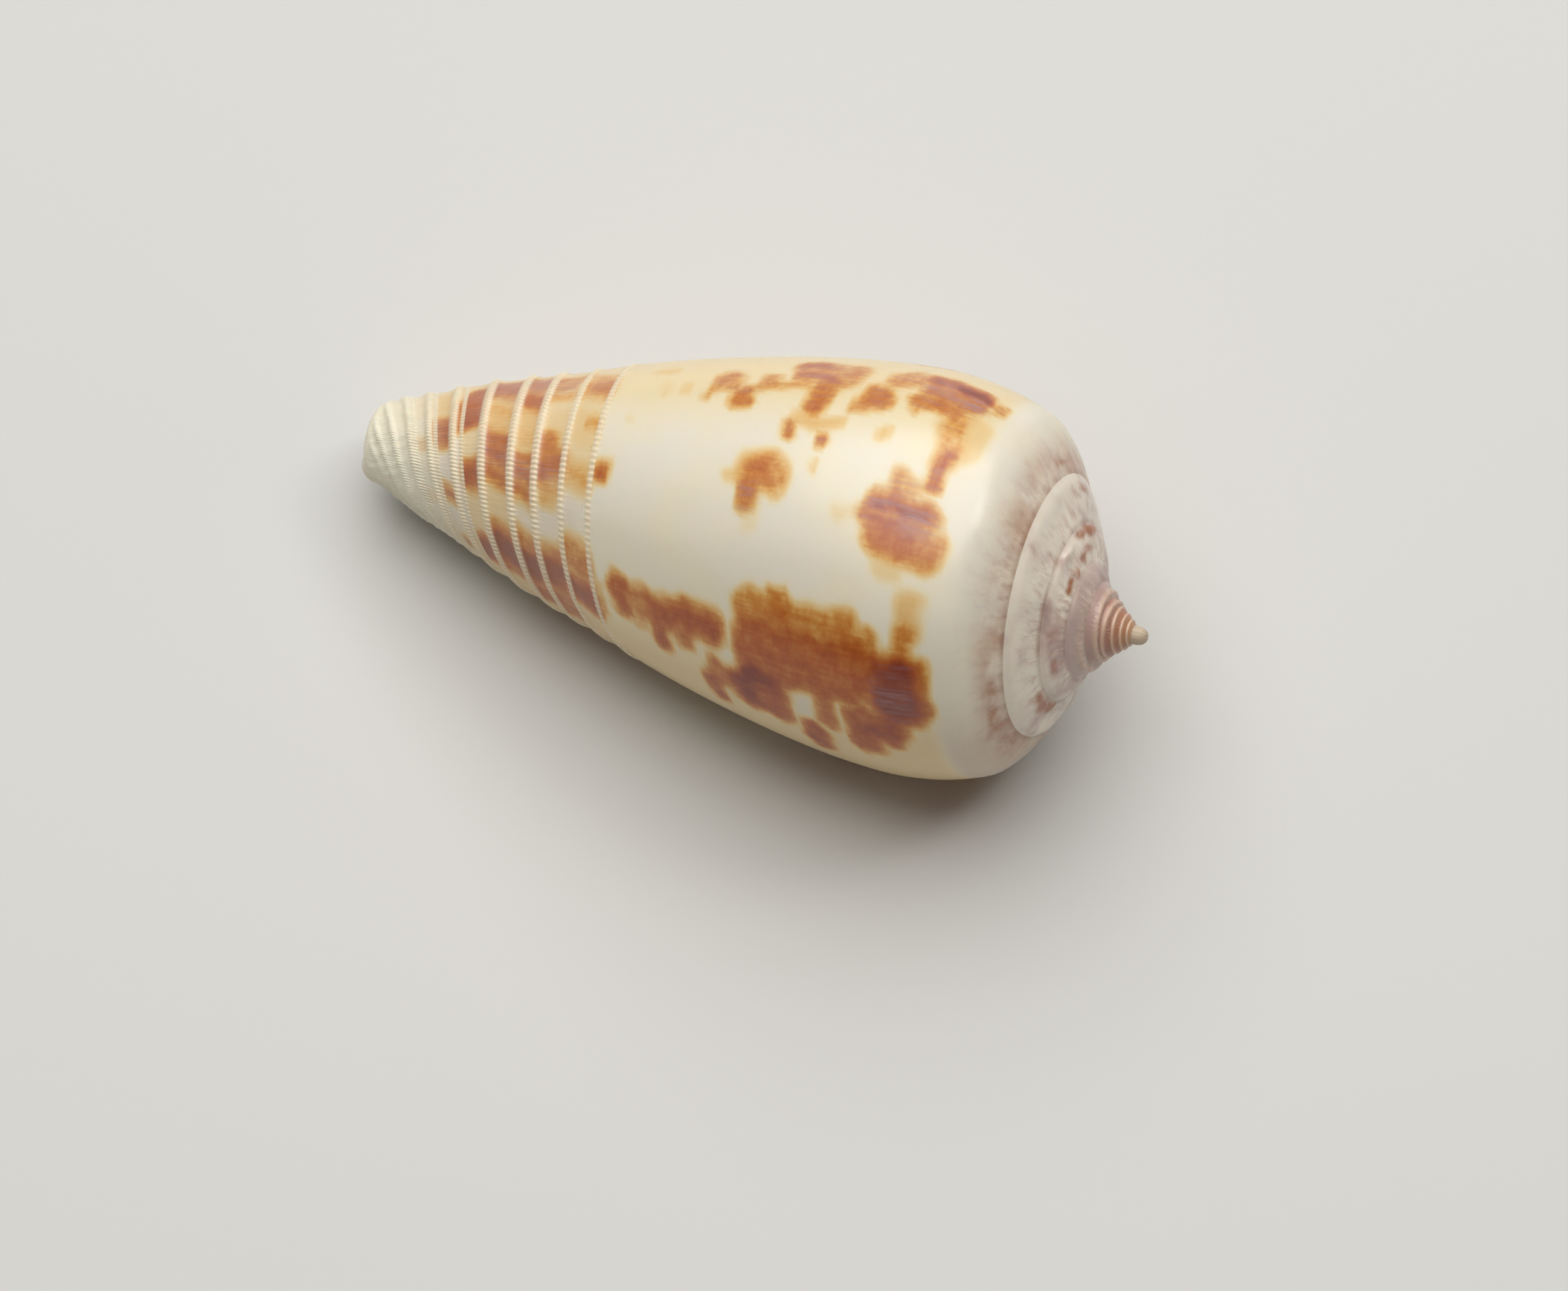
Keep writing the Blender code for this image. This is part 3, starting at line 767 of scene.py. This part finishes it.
lip_out = outer_points[-1, LIP_FREE_ROW:]
lip_in = inner_points[-1, 1:]
lip_angle = 2 * math.pi * outer_turns[-1, LIP_FREE_ROW:]
lip_ahead = np.stack([-np.sin(lip_angle), np.cos(lip_angle), 0 * lip_angle], -1)
end_out = outer_points[-2:-LIP_STEP - 2:-1, -1]
end_ahead = unit(outer_points[:, -1] - outer_points[:, -FREE_ROWS])
lip_ahead[-1] = unit(lip_ahead[-1] + end_ahead[-1])
end_in = inner_points[-2::-1, -1]
edge_out = np.concatenate([lip_out, end_out])
edge_in = np.concatenate([lip_in, end_in])
edge_ahead = np.concatenate([lip_ahead, end_ahead[-2:-LIP_STEP - 2:-1]])
edge_points = rim(edge_out, edge_in, edge_ahead)
edge_turns = np.concatenate([outer_turns[-1, LIP_FREE_ROW:], outer_turns[-2:-LIP_STEP - 2:-1, -1]])
edge_labels = np.concatenate([outer_labels[-1, LIP_FREE_ROW:], outer_labels[-2:-LIP_STEP - 2:-1, -1]])
over_rim = np.linspace(0, 1, RIM_ROWS + 1)
edge_turns, edge_labels = across(edge_turns, edge_points), across(edge_labels, edge_points)
edge_marks = marks_at(edge_turns, edge_labels)
edge_marks[..., :3] *= (1 - over_rim)[:, None]
edge_marks[..., 3] = over_rim
add_sheet(edge_points, edge_turns, edge_labels, edge_marks)
print("lip edge:", edge_points.shape[:2], "points")

# %% [markdown]
# The narrow end shows the tip of the columella inside the wall that wraps it. The tip is a
# low dome down to the axis, first inside the slit and then behind the wall's own edge.

# %% The columella's tip
TIP_ROWS = 5
TIP_LABEL = 52.0


def tip(start):
    """Radius and height over the rounded tip, from start points to the axis."""
    angle = np.linspace(0, math.pi / 2, TIP_ROWS + 1)
    drop = (TIP_HEIGHT - start[:, 1])[:, None]
    radius = start[:, :1] * np.cos(angle)
    radius[:, -1] = 0
    return np.stack([radius, start[:, 1:] + drop * np.sin(angle)], -1)


inside_tip = tip(parietal[:, -1])
inside_turns = across(slit_turns, inside_tip)
inside_points = on_axis(inside_tip, inside_turns)
tip_labels = np.full(inside_turns.shape, TIP_LABEL)
add_sheet(inside_points, inside_turns, tip_labels, marks_at(inside_turns + PLAIN, tip_labels))

wrap = slice(0, STEPS_PER_TURN - LIP_STEP + 1)
wrap_turns = whorl_turns[wrap]
wrap_end = raised[wrap, -1]
stem_end = np.tile([stem_radius, PILLAR_END], (len(wrap_turns), 1))
wrap_wall = WALL * GROWTH ** wrap_turns * (1 - END_THINNING)
wrap_wall = np.minimum(wrap_wall, wrap_end[:, 0] - stem_end[:, 0])
back = on_axis(np.stack([wrap_end[:, 0] - wrap_wall, wrap_end[:, 1]], -1), wrap_turns)
wrap_rim = rim(outer_points[wrap, -1], back, end_ahead[wrap])
stem_tip = tip(stem_end)
stem_points = on_axis(stem_tip, across(wrap_turns, stem_tip))
end_points = np.concatenate([wrap_rim, stem_points], 1)
end_turns = across(wrap_turns, end_points)
end_labels = np.full(end_turns.shape, TIP_LABEL)
add_sheet(end_points, end_turns, end_labels, marks_at(end_turns + PLAIN, end_labels))
print("narrow end:", end_points.shape[:2], "points")

# %% [markdown]
# Now the sheets become one skin. Corners that share a place are merged, and the two
# openings that are left, above the lip and at the slit's deep end, are filled. A shell wall
# has no hole in it, so every edge must end up with exactly two faces.

# %% Weld the skin
WELD = 0.004

bmesh.ops.remove_doubles(bm, verts=bm.verts, dist=WELD)
bmesh.ops.dissolve_degenerate(bm, edges=bm.edges, dist=WELD)
bmesh.ops.holes_fill(bm, edges=[edge for edge in bm.edges if edge.is_boundary], sides=0)
open_edges = [edge for edge in bm.edges if len(edge.link_faces) != 2]
print("open edges:", len(open_edges), "faces:", len(bm.faces))

# %% [markdown]
# The beads on the ribs are real too. The ribbed faces of the outside get twice as many
# columns, and every third one is pressed in where it crosses a rib. That makes 144 beads
# a turn, 0.4 mm apart where the ribs start and 0.1 mm near the narrow end.

# %% Beads
BEADS_PER_TURN = 2 * STEPS_PER_TURN // 3
BEAD_DEPTH = 0.07

ribbed_edges = []
for edge in bm.edges:
    labels = [loop[growth_map].uv for loop in edge.link_loops]
    marks = [loop[marks_map][3] for loop in edge.link_loops]
    ends = [loop.link_loop_next[growth_map].uv for loop in edge.link_loops]
    along = all(abs(a.x - b.x) > 0.6 / STEPS_PER_TURN and abs(a.y - b.y) < 0.2
                for a, b in zip(labels, ends))
    if along and max(marks) == 0 and RIB_ZONE < min(a.y for a in labels) < TIP_LABEL - 1:
        ribbed_edges.append(edge)
bmesh.ops.subdivide_edges(bm, edges=ribbed_edges, cuts=1, use_grid_fill=True)
bm.normal_update()
pressed = []
for vert in bm.verts:
    spot = vert.link_loops[0][growth_map].uv
    place = spot.x * BEADS_PER_TURN
    if not RIB_ZONE < spot.y < end_length(np.array(spot.x)) - 1 or abs(place - round(place)) > 0.1:
        continue
    crest = float(rib_shape(np.array(spot.y))[0])
    if crest > 0.1 and all(loop[marks_map][3] == 0 for loop in vert.link_loops):
        pressed.append((vert, BEAD_DEPTH * crest))
for vert, depth in pressed:
    vert.co -= vert.normal * depth
print(len(ribbed_edges), "edges cut,", len(pressed), "corners pressed in")

# %% [markdown]
# The slit's lining is plain and mostly hidden, so its faces are merged where it is flat.
# The corners are taken in the skin's own order, which gives the same mesh on every run.

# %% Thin the lining
LINING_ANGLE = math.radians(3)

own = {face for face in lining if face.is_valid}
around = {vert for face in own for vert in face.verts}
hidden = [vert for vert in bm.verts if vert in around and all(face in own for face in vert.link_faces)]
free = set(hidden)
hidden_edges = [edge for edge in bm.edges
                if not free.isdisjoint(edge.verts) and all(face in own for face in edge.link_faces)]
bmesh.ops.dissolve_limit(bm, angle_limit=LINING_ANGLE, verts=hidden, edges=hidden_edges,
                         use_dissolve_boundaries=False)
bmesh.ops.triangulate(bm, faces=[face for face in bm.faces if len(face.verts) > 4])
bmesh.ops.recalc_face_normals(bm, faces=bm.faces)
triangles = sum(len(face.verts) - 2 for face in bm.faces)
open_edges = [edge for edge in bm.edges if len(edge.link_faces) != 2]
print("triangles:", triangles, "open edges:", len(open_edges), "volume:", round(bm.calc_volume(), 1))

# %% [markdown]
# Then the shell is laid on the ground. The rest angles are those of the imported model: the
# apex end rises by 11.4 degrees, and the side at 211.1 degrees from turn 0 faces down.
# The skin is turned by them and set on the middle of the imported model's own box. Where it
# touches the ground it is worn flat by 0.2 mm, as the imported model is.

# %% Lay it down
AXIS_RISE = math.radians(11.4)
DOWN_SIDE = math.radians(211.1)
WORN_DEPTH = 0.2

up_axis = Vector((math.cos(AXIS_RISE), 0, math.sin(AXIS_RISE)))
down_side = Vector((math.sin(AXIS_RISE), 0, -math.cos(AXIS_RISE)))
side = (-up_axis).cross(down_side)
rest = Matrix((down_side, side, -up_axis)).transposed() @ Matrix.Rotation(-DOWN_SIDE, 3, "Z")
bmesh.ops.transform(bm, matrix=rest.to_4x4() * MM, verts=bm.verts)
corners = np.array([vert.co for vert in bm.verts])
low, high = corners.min(0), corners.max(0)
low[2] += WORN_DEPTH * MM
for vert in bm.verts:
    vert.co.z = max(vert.co.z, low[2])
shell_low, shell_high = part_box("shell")
middle = (shell_low + shell_high) / 2
apex = Vector((middle.x - (low[0] + high[0]) / 2, middle.y - (low[1] + high[1]) / 2, -low[2]))
bmesh.ops.translate(bm, vec=apex, verts=bm.verts)

skin = bpy.data.meshes.new("cone_shell")
bm.to_mesh(skin)
bm.free()
skin.shade_smooth()
cone_shell = bpy.data.objects.new("cone_shell", skin)
bpy.context.scene.collection.objects.link(cone_shell)
print("shell size in mm:", ((high - low) * 1000).round(2))

# %% [markdown]
# The finish. Real shell is aragonite and a little protein, polished by the animal, so it
# shines like glazed china and lets a trace of light in. One function turns sRGB hex values
# to linear ones, and another adds a node with its settings and links. Four settings come
# back often, so they have names: a colour laid over another, an eased range, a product, and
# a product with a sum. Sockets go by number or name: a colour Mix takes its factor at 0 and
# its two colours at 6 and 7, and a Map Range takes a value and then its four limits.

# %% Colours and nodes
def linear(hex_code):
    """A linear colour from an sRGB hex code."""
    values = [int(hex_code[start:start + 2], 16) / 255 for start in (1, 3, 5)]
    return [v / 12.92 if v <= 0.04045 else ((v + 0.055) / 1.055) ** 2.4 for v in values] + [1.0]


finish = bpy.data.materials.new("polished_aragonite_shell")
finish.use_nodes = True
tree = finish.node_tree
tree.nodes.clear()


def add(kind, sockets=(), out=0, stops=(), **settings):
    """Adds a node, sets it up, fills or links its sockets and returns one output."""
    pairs = sockets.items() if isinstance(sockets, dict) else enumerate(sockets)
    node = tree.nodes.new("ShaderNode" + kind)
    for name, value in settings.items():
        setattr(node, name, value)
    for socket, value in pairs:
        if isinstance(value, bpy.types.NodeSocket):
            tree.links.new(value, node.inputs[socket])
        else:
            node.inputs[socket].default_value = linear(value) if isinstance(value, str) else value
    for index, (position, hex_code) in enumerate(stops):
        elements = node.color_ramp.elements
        stop = elements[index] if index < len(elements) else elements.new(position)
        stop.position = position
        stop.color = linear(hex_code)
    return node.outputs[out] if node.outputs else node


COVER = {"out": 2, "data_type": "RGBA"}
EASED = {"interpolation_type": "SMOOTHSTEP"}
TIMES = {"operation": "MULTIPLY"}
TIMES_PLUS = {"operation": "MULTIPLY_ADD"}
print("finish:", finish.name)

# %% [markdown]
# The material reads where it is from the growth map: the turn runs round the shell and the
# length runs down it, in mm. Growth lines are then simply noise that changes fast along the
# turn and slowly along the length. All the masks below come from these two numbers and the
# colour layer.

# %% Places and grains
place = add("UVMap", uv_map="growth")
parts = add("SeparateXYZ", {0: place})
turn_at, length_at = parts, parts.node.outputs[1]
layer = add("VertexColor", layer_name="marks")
inside_mask = layer.node.outputs[1]
split = add("SeparateColor", {0: layer})
stain, purple, crest = (split.node.outputs[index] for index in range(3))
solid_place = add("TexCoord", out=3)

GRAINS = {
    "streaks": ((260, 0.45, 1), 2.0),
    "lobes": ((60, 1.1, 1), 3.0),
    "spiral": ((5, 3.2, 1), 2.0),
    "folds": ((70, 0.7, 1), 2.0),
}
grain = {}
for name, (scale, detail) in GRAINS.items():
    stretched = add("VectorMath", (place, scale), **TIMES)
    settings = {"Vector": stretched, "Scale": 1.0, "Detail": detail, "Roughness": 0.55}
    grain[name] = add("TexNoise", settings)
grain["specks"] = add("TexNoise", {"Vector": solid_place, "Scale": 2600, "Detail": 3.0})
grain["clouds"] = add("TexNoise", {"Vector": solid_place, "Scale": 170, "Detail": 2.0})
print(len(grain), "grains")

# %% [markdown]
# The ground is warm cream, a touch yellower or greyer in broad clouds. On the lower side
# it turns tan: that is painted shade, fading out again towards the far side. On the ramp of
# the last whorl it turns pinkish tan towards the suture, partly the ramp's own tint and
# partly painted shade in the dish by the suture. The middle whorls are cream to lilac grey.
# The young whorls are salmon between paler keels, then peach, and the nucleus is a creamy
# white, though its stop here is a greyer tan, painted shade at the apex end. Pink lines in
# the folds by the suture are painted shade, and a thin brown line in the suture is painted
# shadow in that crease.

# %% Ground
ground = add("ValToRGB", {0: grain["clouds"]}, stops=[(0.36, "#F2E7CC"), (0.62, "#EFE6D4")])
# Painted shade: the lower side turns tan, and fades back to cream towards the far side.
painted_low_shade = add("MapRange", (turn_at, -0.08, -0.20, 0.0, 0.6), **EASED)
painted_low_shade_cut = add("MapRange", (turn_at, -0.44, -0.32), **EASED)
painted_low_shade = add("Math", (painted_low_shade, painted_low_shade_cut), **TIMES)
ground = add("Mix", {0: painted_low_shade, 6: ground, 7: "#CEB4A0"}, **COVER)
# Partly the ramp's own pinkish tan, partly painted shade in the dish by the suture.
ramp_tan_and_shade = add("MapRange", (length_at, -0.4, -3.0, 0.0, 0.9), **EASED)
blots = add("TexNoise", {"Vector": solid_place, "Scale": 420, "Detail": 3.0})
patchy = add("MapRange", (blots, 0.38, 0.60, 0.30, 1.0))
ramp_tan_and_shade = add("Math", (ramp_tan_and_shade, patchy), **TIMES)
ground = add("Mix", {0: ramp_tan_and_shade, 6: ground, 7: "#CBA58C"}, **COVER)

on_ramp = add("Math", (length_at, 0.02), operation="LESS_THAN")
on_spire = add("Math", (turn_at, -0.56), operation="LESS_THAN")
on_spire = add("Math", (on_spire, on_ramp), **TIMES)
inward = add("MapRange", (turn_at, -1.0, -2.6, -0.12, 0.12))
blots = add("Math", (blots, inward), operation="ADD")
SPIRE_STOPS = [(0.34, "#F2E6D4"), (0.48, "#E9DACA"), (0.60, "#D2B8AC"), (0.76, "#B0938C")]
spire_tone = add("ValToRGB", {0: blots}, stops=SPIRE_STOPS)
# The first stop, for the nucleus, is painted shade: a greyer tan than the shell's creamy white.
AGE_STOPS_WITH_APEX_SHADE = [
    (0.00, "#C9B59A"), (0.05, "#CBA078"), (0.22, "#BC8762"), (0.42, "#B0775E"),
    (0.60, "#C0A298"), (0.80, "#D2C2B8"),
]
age = add("MapRange", (turn_at, -8.8, -0.6))
young_tone = add("ValToRGB", {0: age}, stops=AGE_STOPS_WITH_APEX_SHADE)
keel_cover = add("Math", (crest, 0.75), **TIMES)
young_tone = add("Mix", {0: keel_cover, 6: young_tone, 7: "#E2C4AC"}, **COVER)
youth = add("MapRange", (turn_at, -2.4, -3.4), **EASED)
spire_tone = add("Mix", {0: youth, 6: spire_tone, 7: young_tone}, **COVER)
ground = add("Mix", {0: on_spire, 6: ground, 7: spire_tone}, **COVER)

# Painted shade: a pinkish tan laid in the folds by the suture.
fold_shade_mask = add("MapRange", (grain["folds"], 0.48, 0.68, 0.0, 0.5))
fold_shade_mask = add("Math", (fold_shade_mask, on_ramp), **TIMES)
near_suture = add("MapRange", (length_at, -0.8, -2.8, 0.15, 1.0))
fold_shade_mask = add("Math", (fold_shade_mask, near_suture), **TIMES)
ground = add("Mix", {0: fold_shade_mask, 6: ground, 7: "#C39C88"}, **COVER)

# Painted shadow: a thin brown line in the suture crease, where the next whorl steps down.
suture_shadow = add("MapRange", (length_at, -2.9, -3.35, 0.0, 0.65), **EASED)
line_fade = add("MapRange", (turn_at, -2.1, -1.5, 0.25, 1.0))
suture_shadow = add("Math", (suture_shadow, line_fade), **TIMES)
suture_shadow = add("Math", (suture_shadow, patchy), **TIMES)
ground = add("Mix", {0: suture_shadow, 6: ground, 7: "#A07A62"}, **COVER)
print(len(tree.nodes), "nodes with the ground")

# %% [markdown]
# The blotches go through a ramp of colours from pale yellow at their rim to red brown in
# the core. Each grain shifts the stain a little first, so the rims fray along the growth
# lines and the cores are streaked.

# %% Blotches
frayed = add("Math", (grain["streaks"], 0.5), operation="SUBTRACT")
frayed = add("Math", (frayed, 0.23), **TIMES)
lobed = add("Math", (grain["lobes"], 0.5), operation="SUBTRACT")
shift = add("Math", (lobed, 0.40, frayed), **TIMES_PLUS)
speckled = add("Math", (grain["specks"], 0.5), operation="SUBTRACT")
shift = add("Math", (speckled, 0.18, shift), **TIMES_PLUS)
near_stain = add("MapRange", (stain, 0.22, 0.38), **EASED)
depth = add("Math", (shift, near_stain, stain), **TIMES_PLUS)
STAIN_STOPS = [
    (0.02, "#F0E4C8"), (0.12, "#F0DEB4"), (0.24, "#EBC98C"), (0.36, "#E2AA5E"),
    (0.50, "#D0853C"), (0.66, "#BF6422"), (0.82, "#A84A18"), (1.00, "#8C3415"),
]
brown = add("ValToRGB", {0: depth}, stops=STAIN_STOPS)
blotch_mask = add("MapRange", (depth, 0.01, 0.17), **EASED)
surface = add("Mix", {0: blotch_mask, 6: ground, 7: brown}, **COVER)
print(len(tree.nodes), "nodes with the blotches")

# %% [markdown]
# On the ramps the blotches are soft tan clouds instead, without a yellow rim, because the
# later shell grew a thin milky glaze over them.

# %% Clouds on the ramps
smoke = add("TexNoise", {"Vector": solid_place, "Scale": 1100, "Detail": 3.0})
smoke = add("MapRange", (smoke, 0.32, 0.68, 0.45, 1.6))
cloudy = add("Math", (smoke, stain), **TIMES)
cloudy = add("MapRange", (cloudy, 0.04, 0.62, 0.0, 0.9), **EASED)
clouded = add("Mix", {0: cloudy, 6: ground, 7: "#A65C22"}, **COVER)
surface = add("Mix", {0: on_ramp, 6: surface, 7: clouded}, **COVER)
print(len(tree.nodes), "nodes with the clouds")

# %% [markdown]
# In the purple places, thin lilac lines follow the growth lines, where a milky layer lies
# over the pigment. The same noise that frays the edges picks them.

# %% Lilac veil
veil_lines = add("MapRange", (grain["streaks"], 0.44, 0.66, 0.25, 1.0))
veil = add("Math", (veil_lines, purple), **TIMES)
veil = add("Math", (veil, 0.75), **TIMES)
surface = add("Mix", {0: veil, 6: surface, 7: "#B59494"}, **COVER)
print(len(tree.nodes), "nodes with the veil")

# %% [markdown]
# The ribs are paler than what lies between them and bleach the blotches out, least in the
# gaps between beads, where a darker tan is painted shade between the beads. Between the
# ribs a thin tan film lies over everything. The narrow end turns a chalky white.

# %% Ribs and the narrow end
rib_zone = add("MapRange", (length_at, 24.6, 27.0), **EASED)
between = add("Math", (rib_zone, 0.17), **TIMES)
surface = add("Mix", {0: between, 6: surface, 7: "#DDB48A"}, **COVER)
rib_cover = add("MapRange", (crest, 0.15, 0.65, 0.0, 0.90), **EASED)
bead_wave = add("Math", (turn_at, 2 * math.pi * BEADS_PER_TURN, math.pi), **TIMES_PLUS)
bead_wave = add("Math", {0: bead_wave}, operation="COSINE")
# Painted shade in the gaps between the beads.
bead_gap_shade = add("MapRange", (bead_wave, 0.2, -0.9, 0.0, 0.22))
bead_gap_shade = add("Math", (bead_gap_shade, rib_cover), **TIMES)
rib_cover = add("Math", (rib_cover, bead_gap_shade), operation="SUBTRACT")
surface = add("Mix", {0: bead_gap_shade, 6: surface, 7: "#C8A078"}, **COVER)
rib_cover = add("Math", (rib_cover, on_ramp), operation="SUBTRACT", use_clamp=True)
surface = add("Mix", {0: rib_cover, 6: surface, 7: "#F2E2C2"}, **COVER)
end_white = add("MapRange", (length_at, 35.5, 41.0, 0.0, 0.85), **EASED)
surface = add("Mix", {0: end_white, 6: surface, 7: "#F4EDD6"}, **COVER)
print(len(tree.nodes), "nodes with the ribs")

# %% [markdown]
# Inside the aperture the wall is porcelain white with a flush of pink. The bump adds only
# what is too fine for faces: growth lines everywhere, stronger among the ribs, faint spiral
# lines, folds by the sutures and the roundness of each bead. They are under 0.1 mm high.

# %% Inside, bump and gloss
surface = add("Mix", {0: inside_mask, 6: surface, 7: "#F0E4DA"}, **COVER)

rough_zone = add("MapRange", (length_at, 24.6, 30.0, 0.06, 0.9))
lines = add("Math", (grain["streaks"], rough_zone), **TIMES)
bead_rise = add("Math", (bead_wave, rib_cover), **TIMES)
height = add("Math", (bead_rise, 0.3, lines), **TIMES_PLUS)
height = add("Math", (grain["spiral"], 0.06, height), **TIMES_PLUS)
height = add("Math", (fold_shade_mask, -1.6, height), **TIMES_PLUS)
relief_normal = add("Bump", {"Strength": 0.6, "Distance": 0.00008, "Height": height})

gloss = add("MapRange", (length_at, 24.0, 40.0, 0.24, 0.42))
gloss = add("Math", (grain["specks"], 0.04, gloss), **TIMES_PLUS)
shader = add("BsdfPrincipled", {
    "Base Color": surface, "Roughness": gloss, "IOR": 1.56, "Normal": relief_normal,
    "Subsurface Weight": 0.35, "Subsurface Scale": 0.0006, "Subsurface Radius": (1.0, 0.7, 0.5),
})
add("OutputMaterial", {0: shader})
skin.materials.append(finish)
print(len(tree.nodes), "nodes in the finish")

# %% [markdown]
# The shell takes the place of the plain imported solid, on the one body that there is.

# %% Hand the shell over
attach(cone_shell, "root")
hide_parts("shell")
print("pieces:", [cone_shell.name])

# %% [markdown]
# A plain pale floor, a wide soft key light high over the shell's far side, a weak fill high
# in front of it, and a small lamp on the apex side, which makes the bright spot on the
# shoulder.

# %% Floor and light
FLOOR_HALF = 3.0

floor_bm = bmesh.new()
bmesh.ops.create_grid(floor_bm, x_segments=1, y_segments=1, size=FLOOR_HALF)
floor_mesh = bpy.data.meshes.new("floor")
floor_bm.to_mesh(floor_mesh)
floor_bm.free()
paper = bpy.data.materials.new("matt_paper")
paper.use_nodes = True
paper_inputs = paper.node_tree.nodes["Principled BSDF"].inputs
paper_inputs["Base Color"].default_value = linear("#D9D7D2")
paper_inputs["Roughness"].default_value = 0.9
floor_mesh.materials.append(paper)
floor = bpy.data.objects.new("floor", floor_mesh)
bpy.context.scene.collection.objects.link(floor)
floor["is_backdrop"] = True

LIGHTS = [
    ("key", (-0.06, 0.14, 0.46), 0.75, 3.15),
    ("fill", (-0.10, -0.20, 0.52), 0.50, 0.35),
    ("spark", (0.25, 0.165, 0.38), 0.14, 0.20),
]
for name, spot, size, power in LIGHTS:
    lamp = bpy.data.lights.new(name, "AREA")
    lamp.shape = "DISK"
    lamp.size = size
    lamp.energy = power
    light = bpy.data.objects.new(name, lamp)
    light.location = spot
    light.rotation_euler = (-Vector(spot)).to_track_quat("-Z", "Y").to_euler()
    bpy.context.scene.collection.objects.link(light)

world = bpy.data.worlds.new("studio")
world.use_nodes = True
sky = world.node_tree.nodes["Background"].inputs
sky["Color"].default_value = linear("#F2F2F0")
sky["Strength"].default_value = 0.06
bpy.context.scene.world = world
bpy.context.scene.view_settings.view_transform = "Standard"
print(len(LIGHTS), "lights")

# %% [markdown]
# The camera looks down at the photograph's angle. In the picture the shell's axis falls by
# 13 degrees to the left and leans 20.7 degrees towards the viewer, and the apex is at pixel
# 1542.9, 857.8 of 2108 by 1736, at 23.1 pixels a mm. Those numbers place the camera from
# the apex.

# %% Camera
AXIS_FALL = math.radians(13.036)
AXIS_LEAN = math.radians(20.70)
CAMERA_DISTANCE = 420
PIXELS_PER_MM = 23.1
PICTURE = (2108, 1736)
APEX_PIXEL = (1542.87, 857.80)
SENSOR_WIDTH = 36

lean = (math.sin(AXIS_LEAN), math.cos(AXIS_LEAN))
fall = (math.sin(AXIS_FALL), math.cos(AXIS_FALL))
to_apex = Vector((lean[1] * fall[1], -lean[1] * fall[0], lean[0]))
near_side = Vector((-lean[0] * fall[1], lean[0] * fall[0], lean[1]))
top_side = Vector((fall[0], fall[1], 0))
seen = Matrix((near_side, top_side, -to_apex)).transposed()
facing = rest @ seen.transposed()
apex_offset = Vector(((APEX_PIXEL[0] - PICTURE[0] / 2) / PIXELS_PER_MM,
                      (PICTURE[1] / 2 - APEX_PIXEL[1]) / PIXELS_PER_MM, 0))
camera_data = bpy.data.cameras.new("camera")
camera_data.sensor_width = SENSOR_WIDTH
camera_data.lens = SENSOR_WIDTH * CAMERA_DISTANCE * PIXELS_PER_MM / PICTURE[0]
camera_data.clip_start = 0.01
camera = bpy.data.objects.new("camera", camera_data)
camera.matrix_world = facing.to_4x4()
camera.location = apex + facing @ (Vector((0, 0, CAMERA_DISTANCE)) - apex_offset) * MM
bpy.context.scene.collection.objects.link(camera)
bpy.context.scene.camera = camera
print("camera at mm:", [round(value * 1000, 1) for value in camera.location])

# %% [markdown]
# Last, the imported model's box and the finished one are written down side by side, since the
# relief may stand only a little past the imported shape.

# %% Measure and finish
boxes = {"cad": [list(corner) for corner in cad_box], "visual": [list(corner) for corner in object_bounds()]}
for name, box in boxes.items():
    print(name, "box in mm:", np.round(np.multiply(box, 1000), 2).tolist())
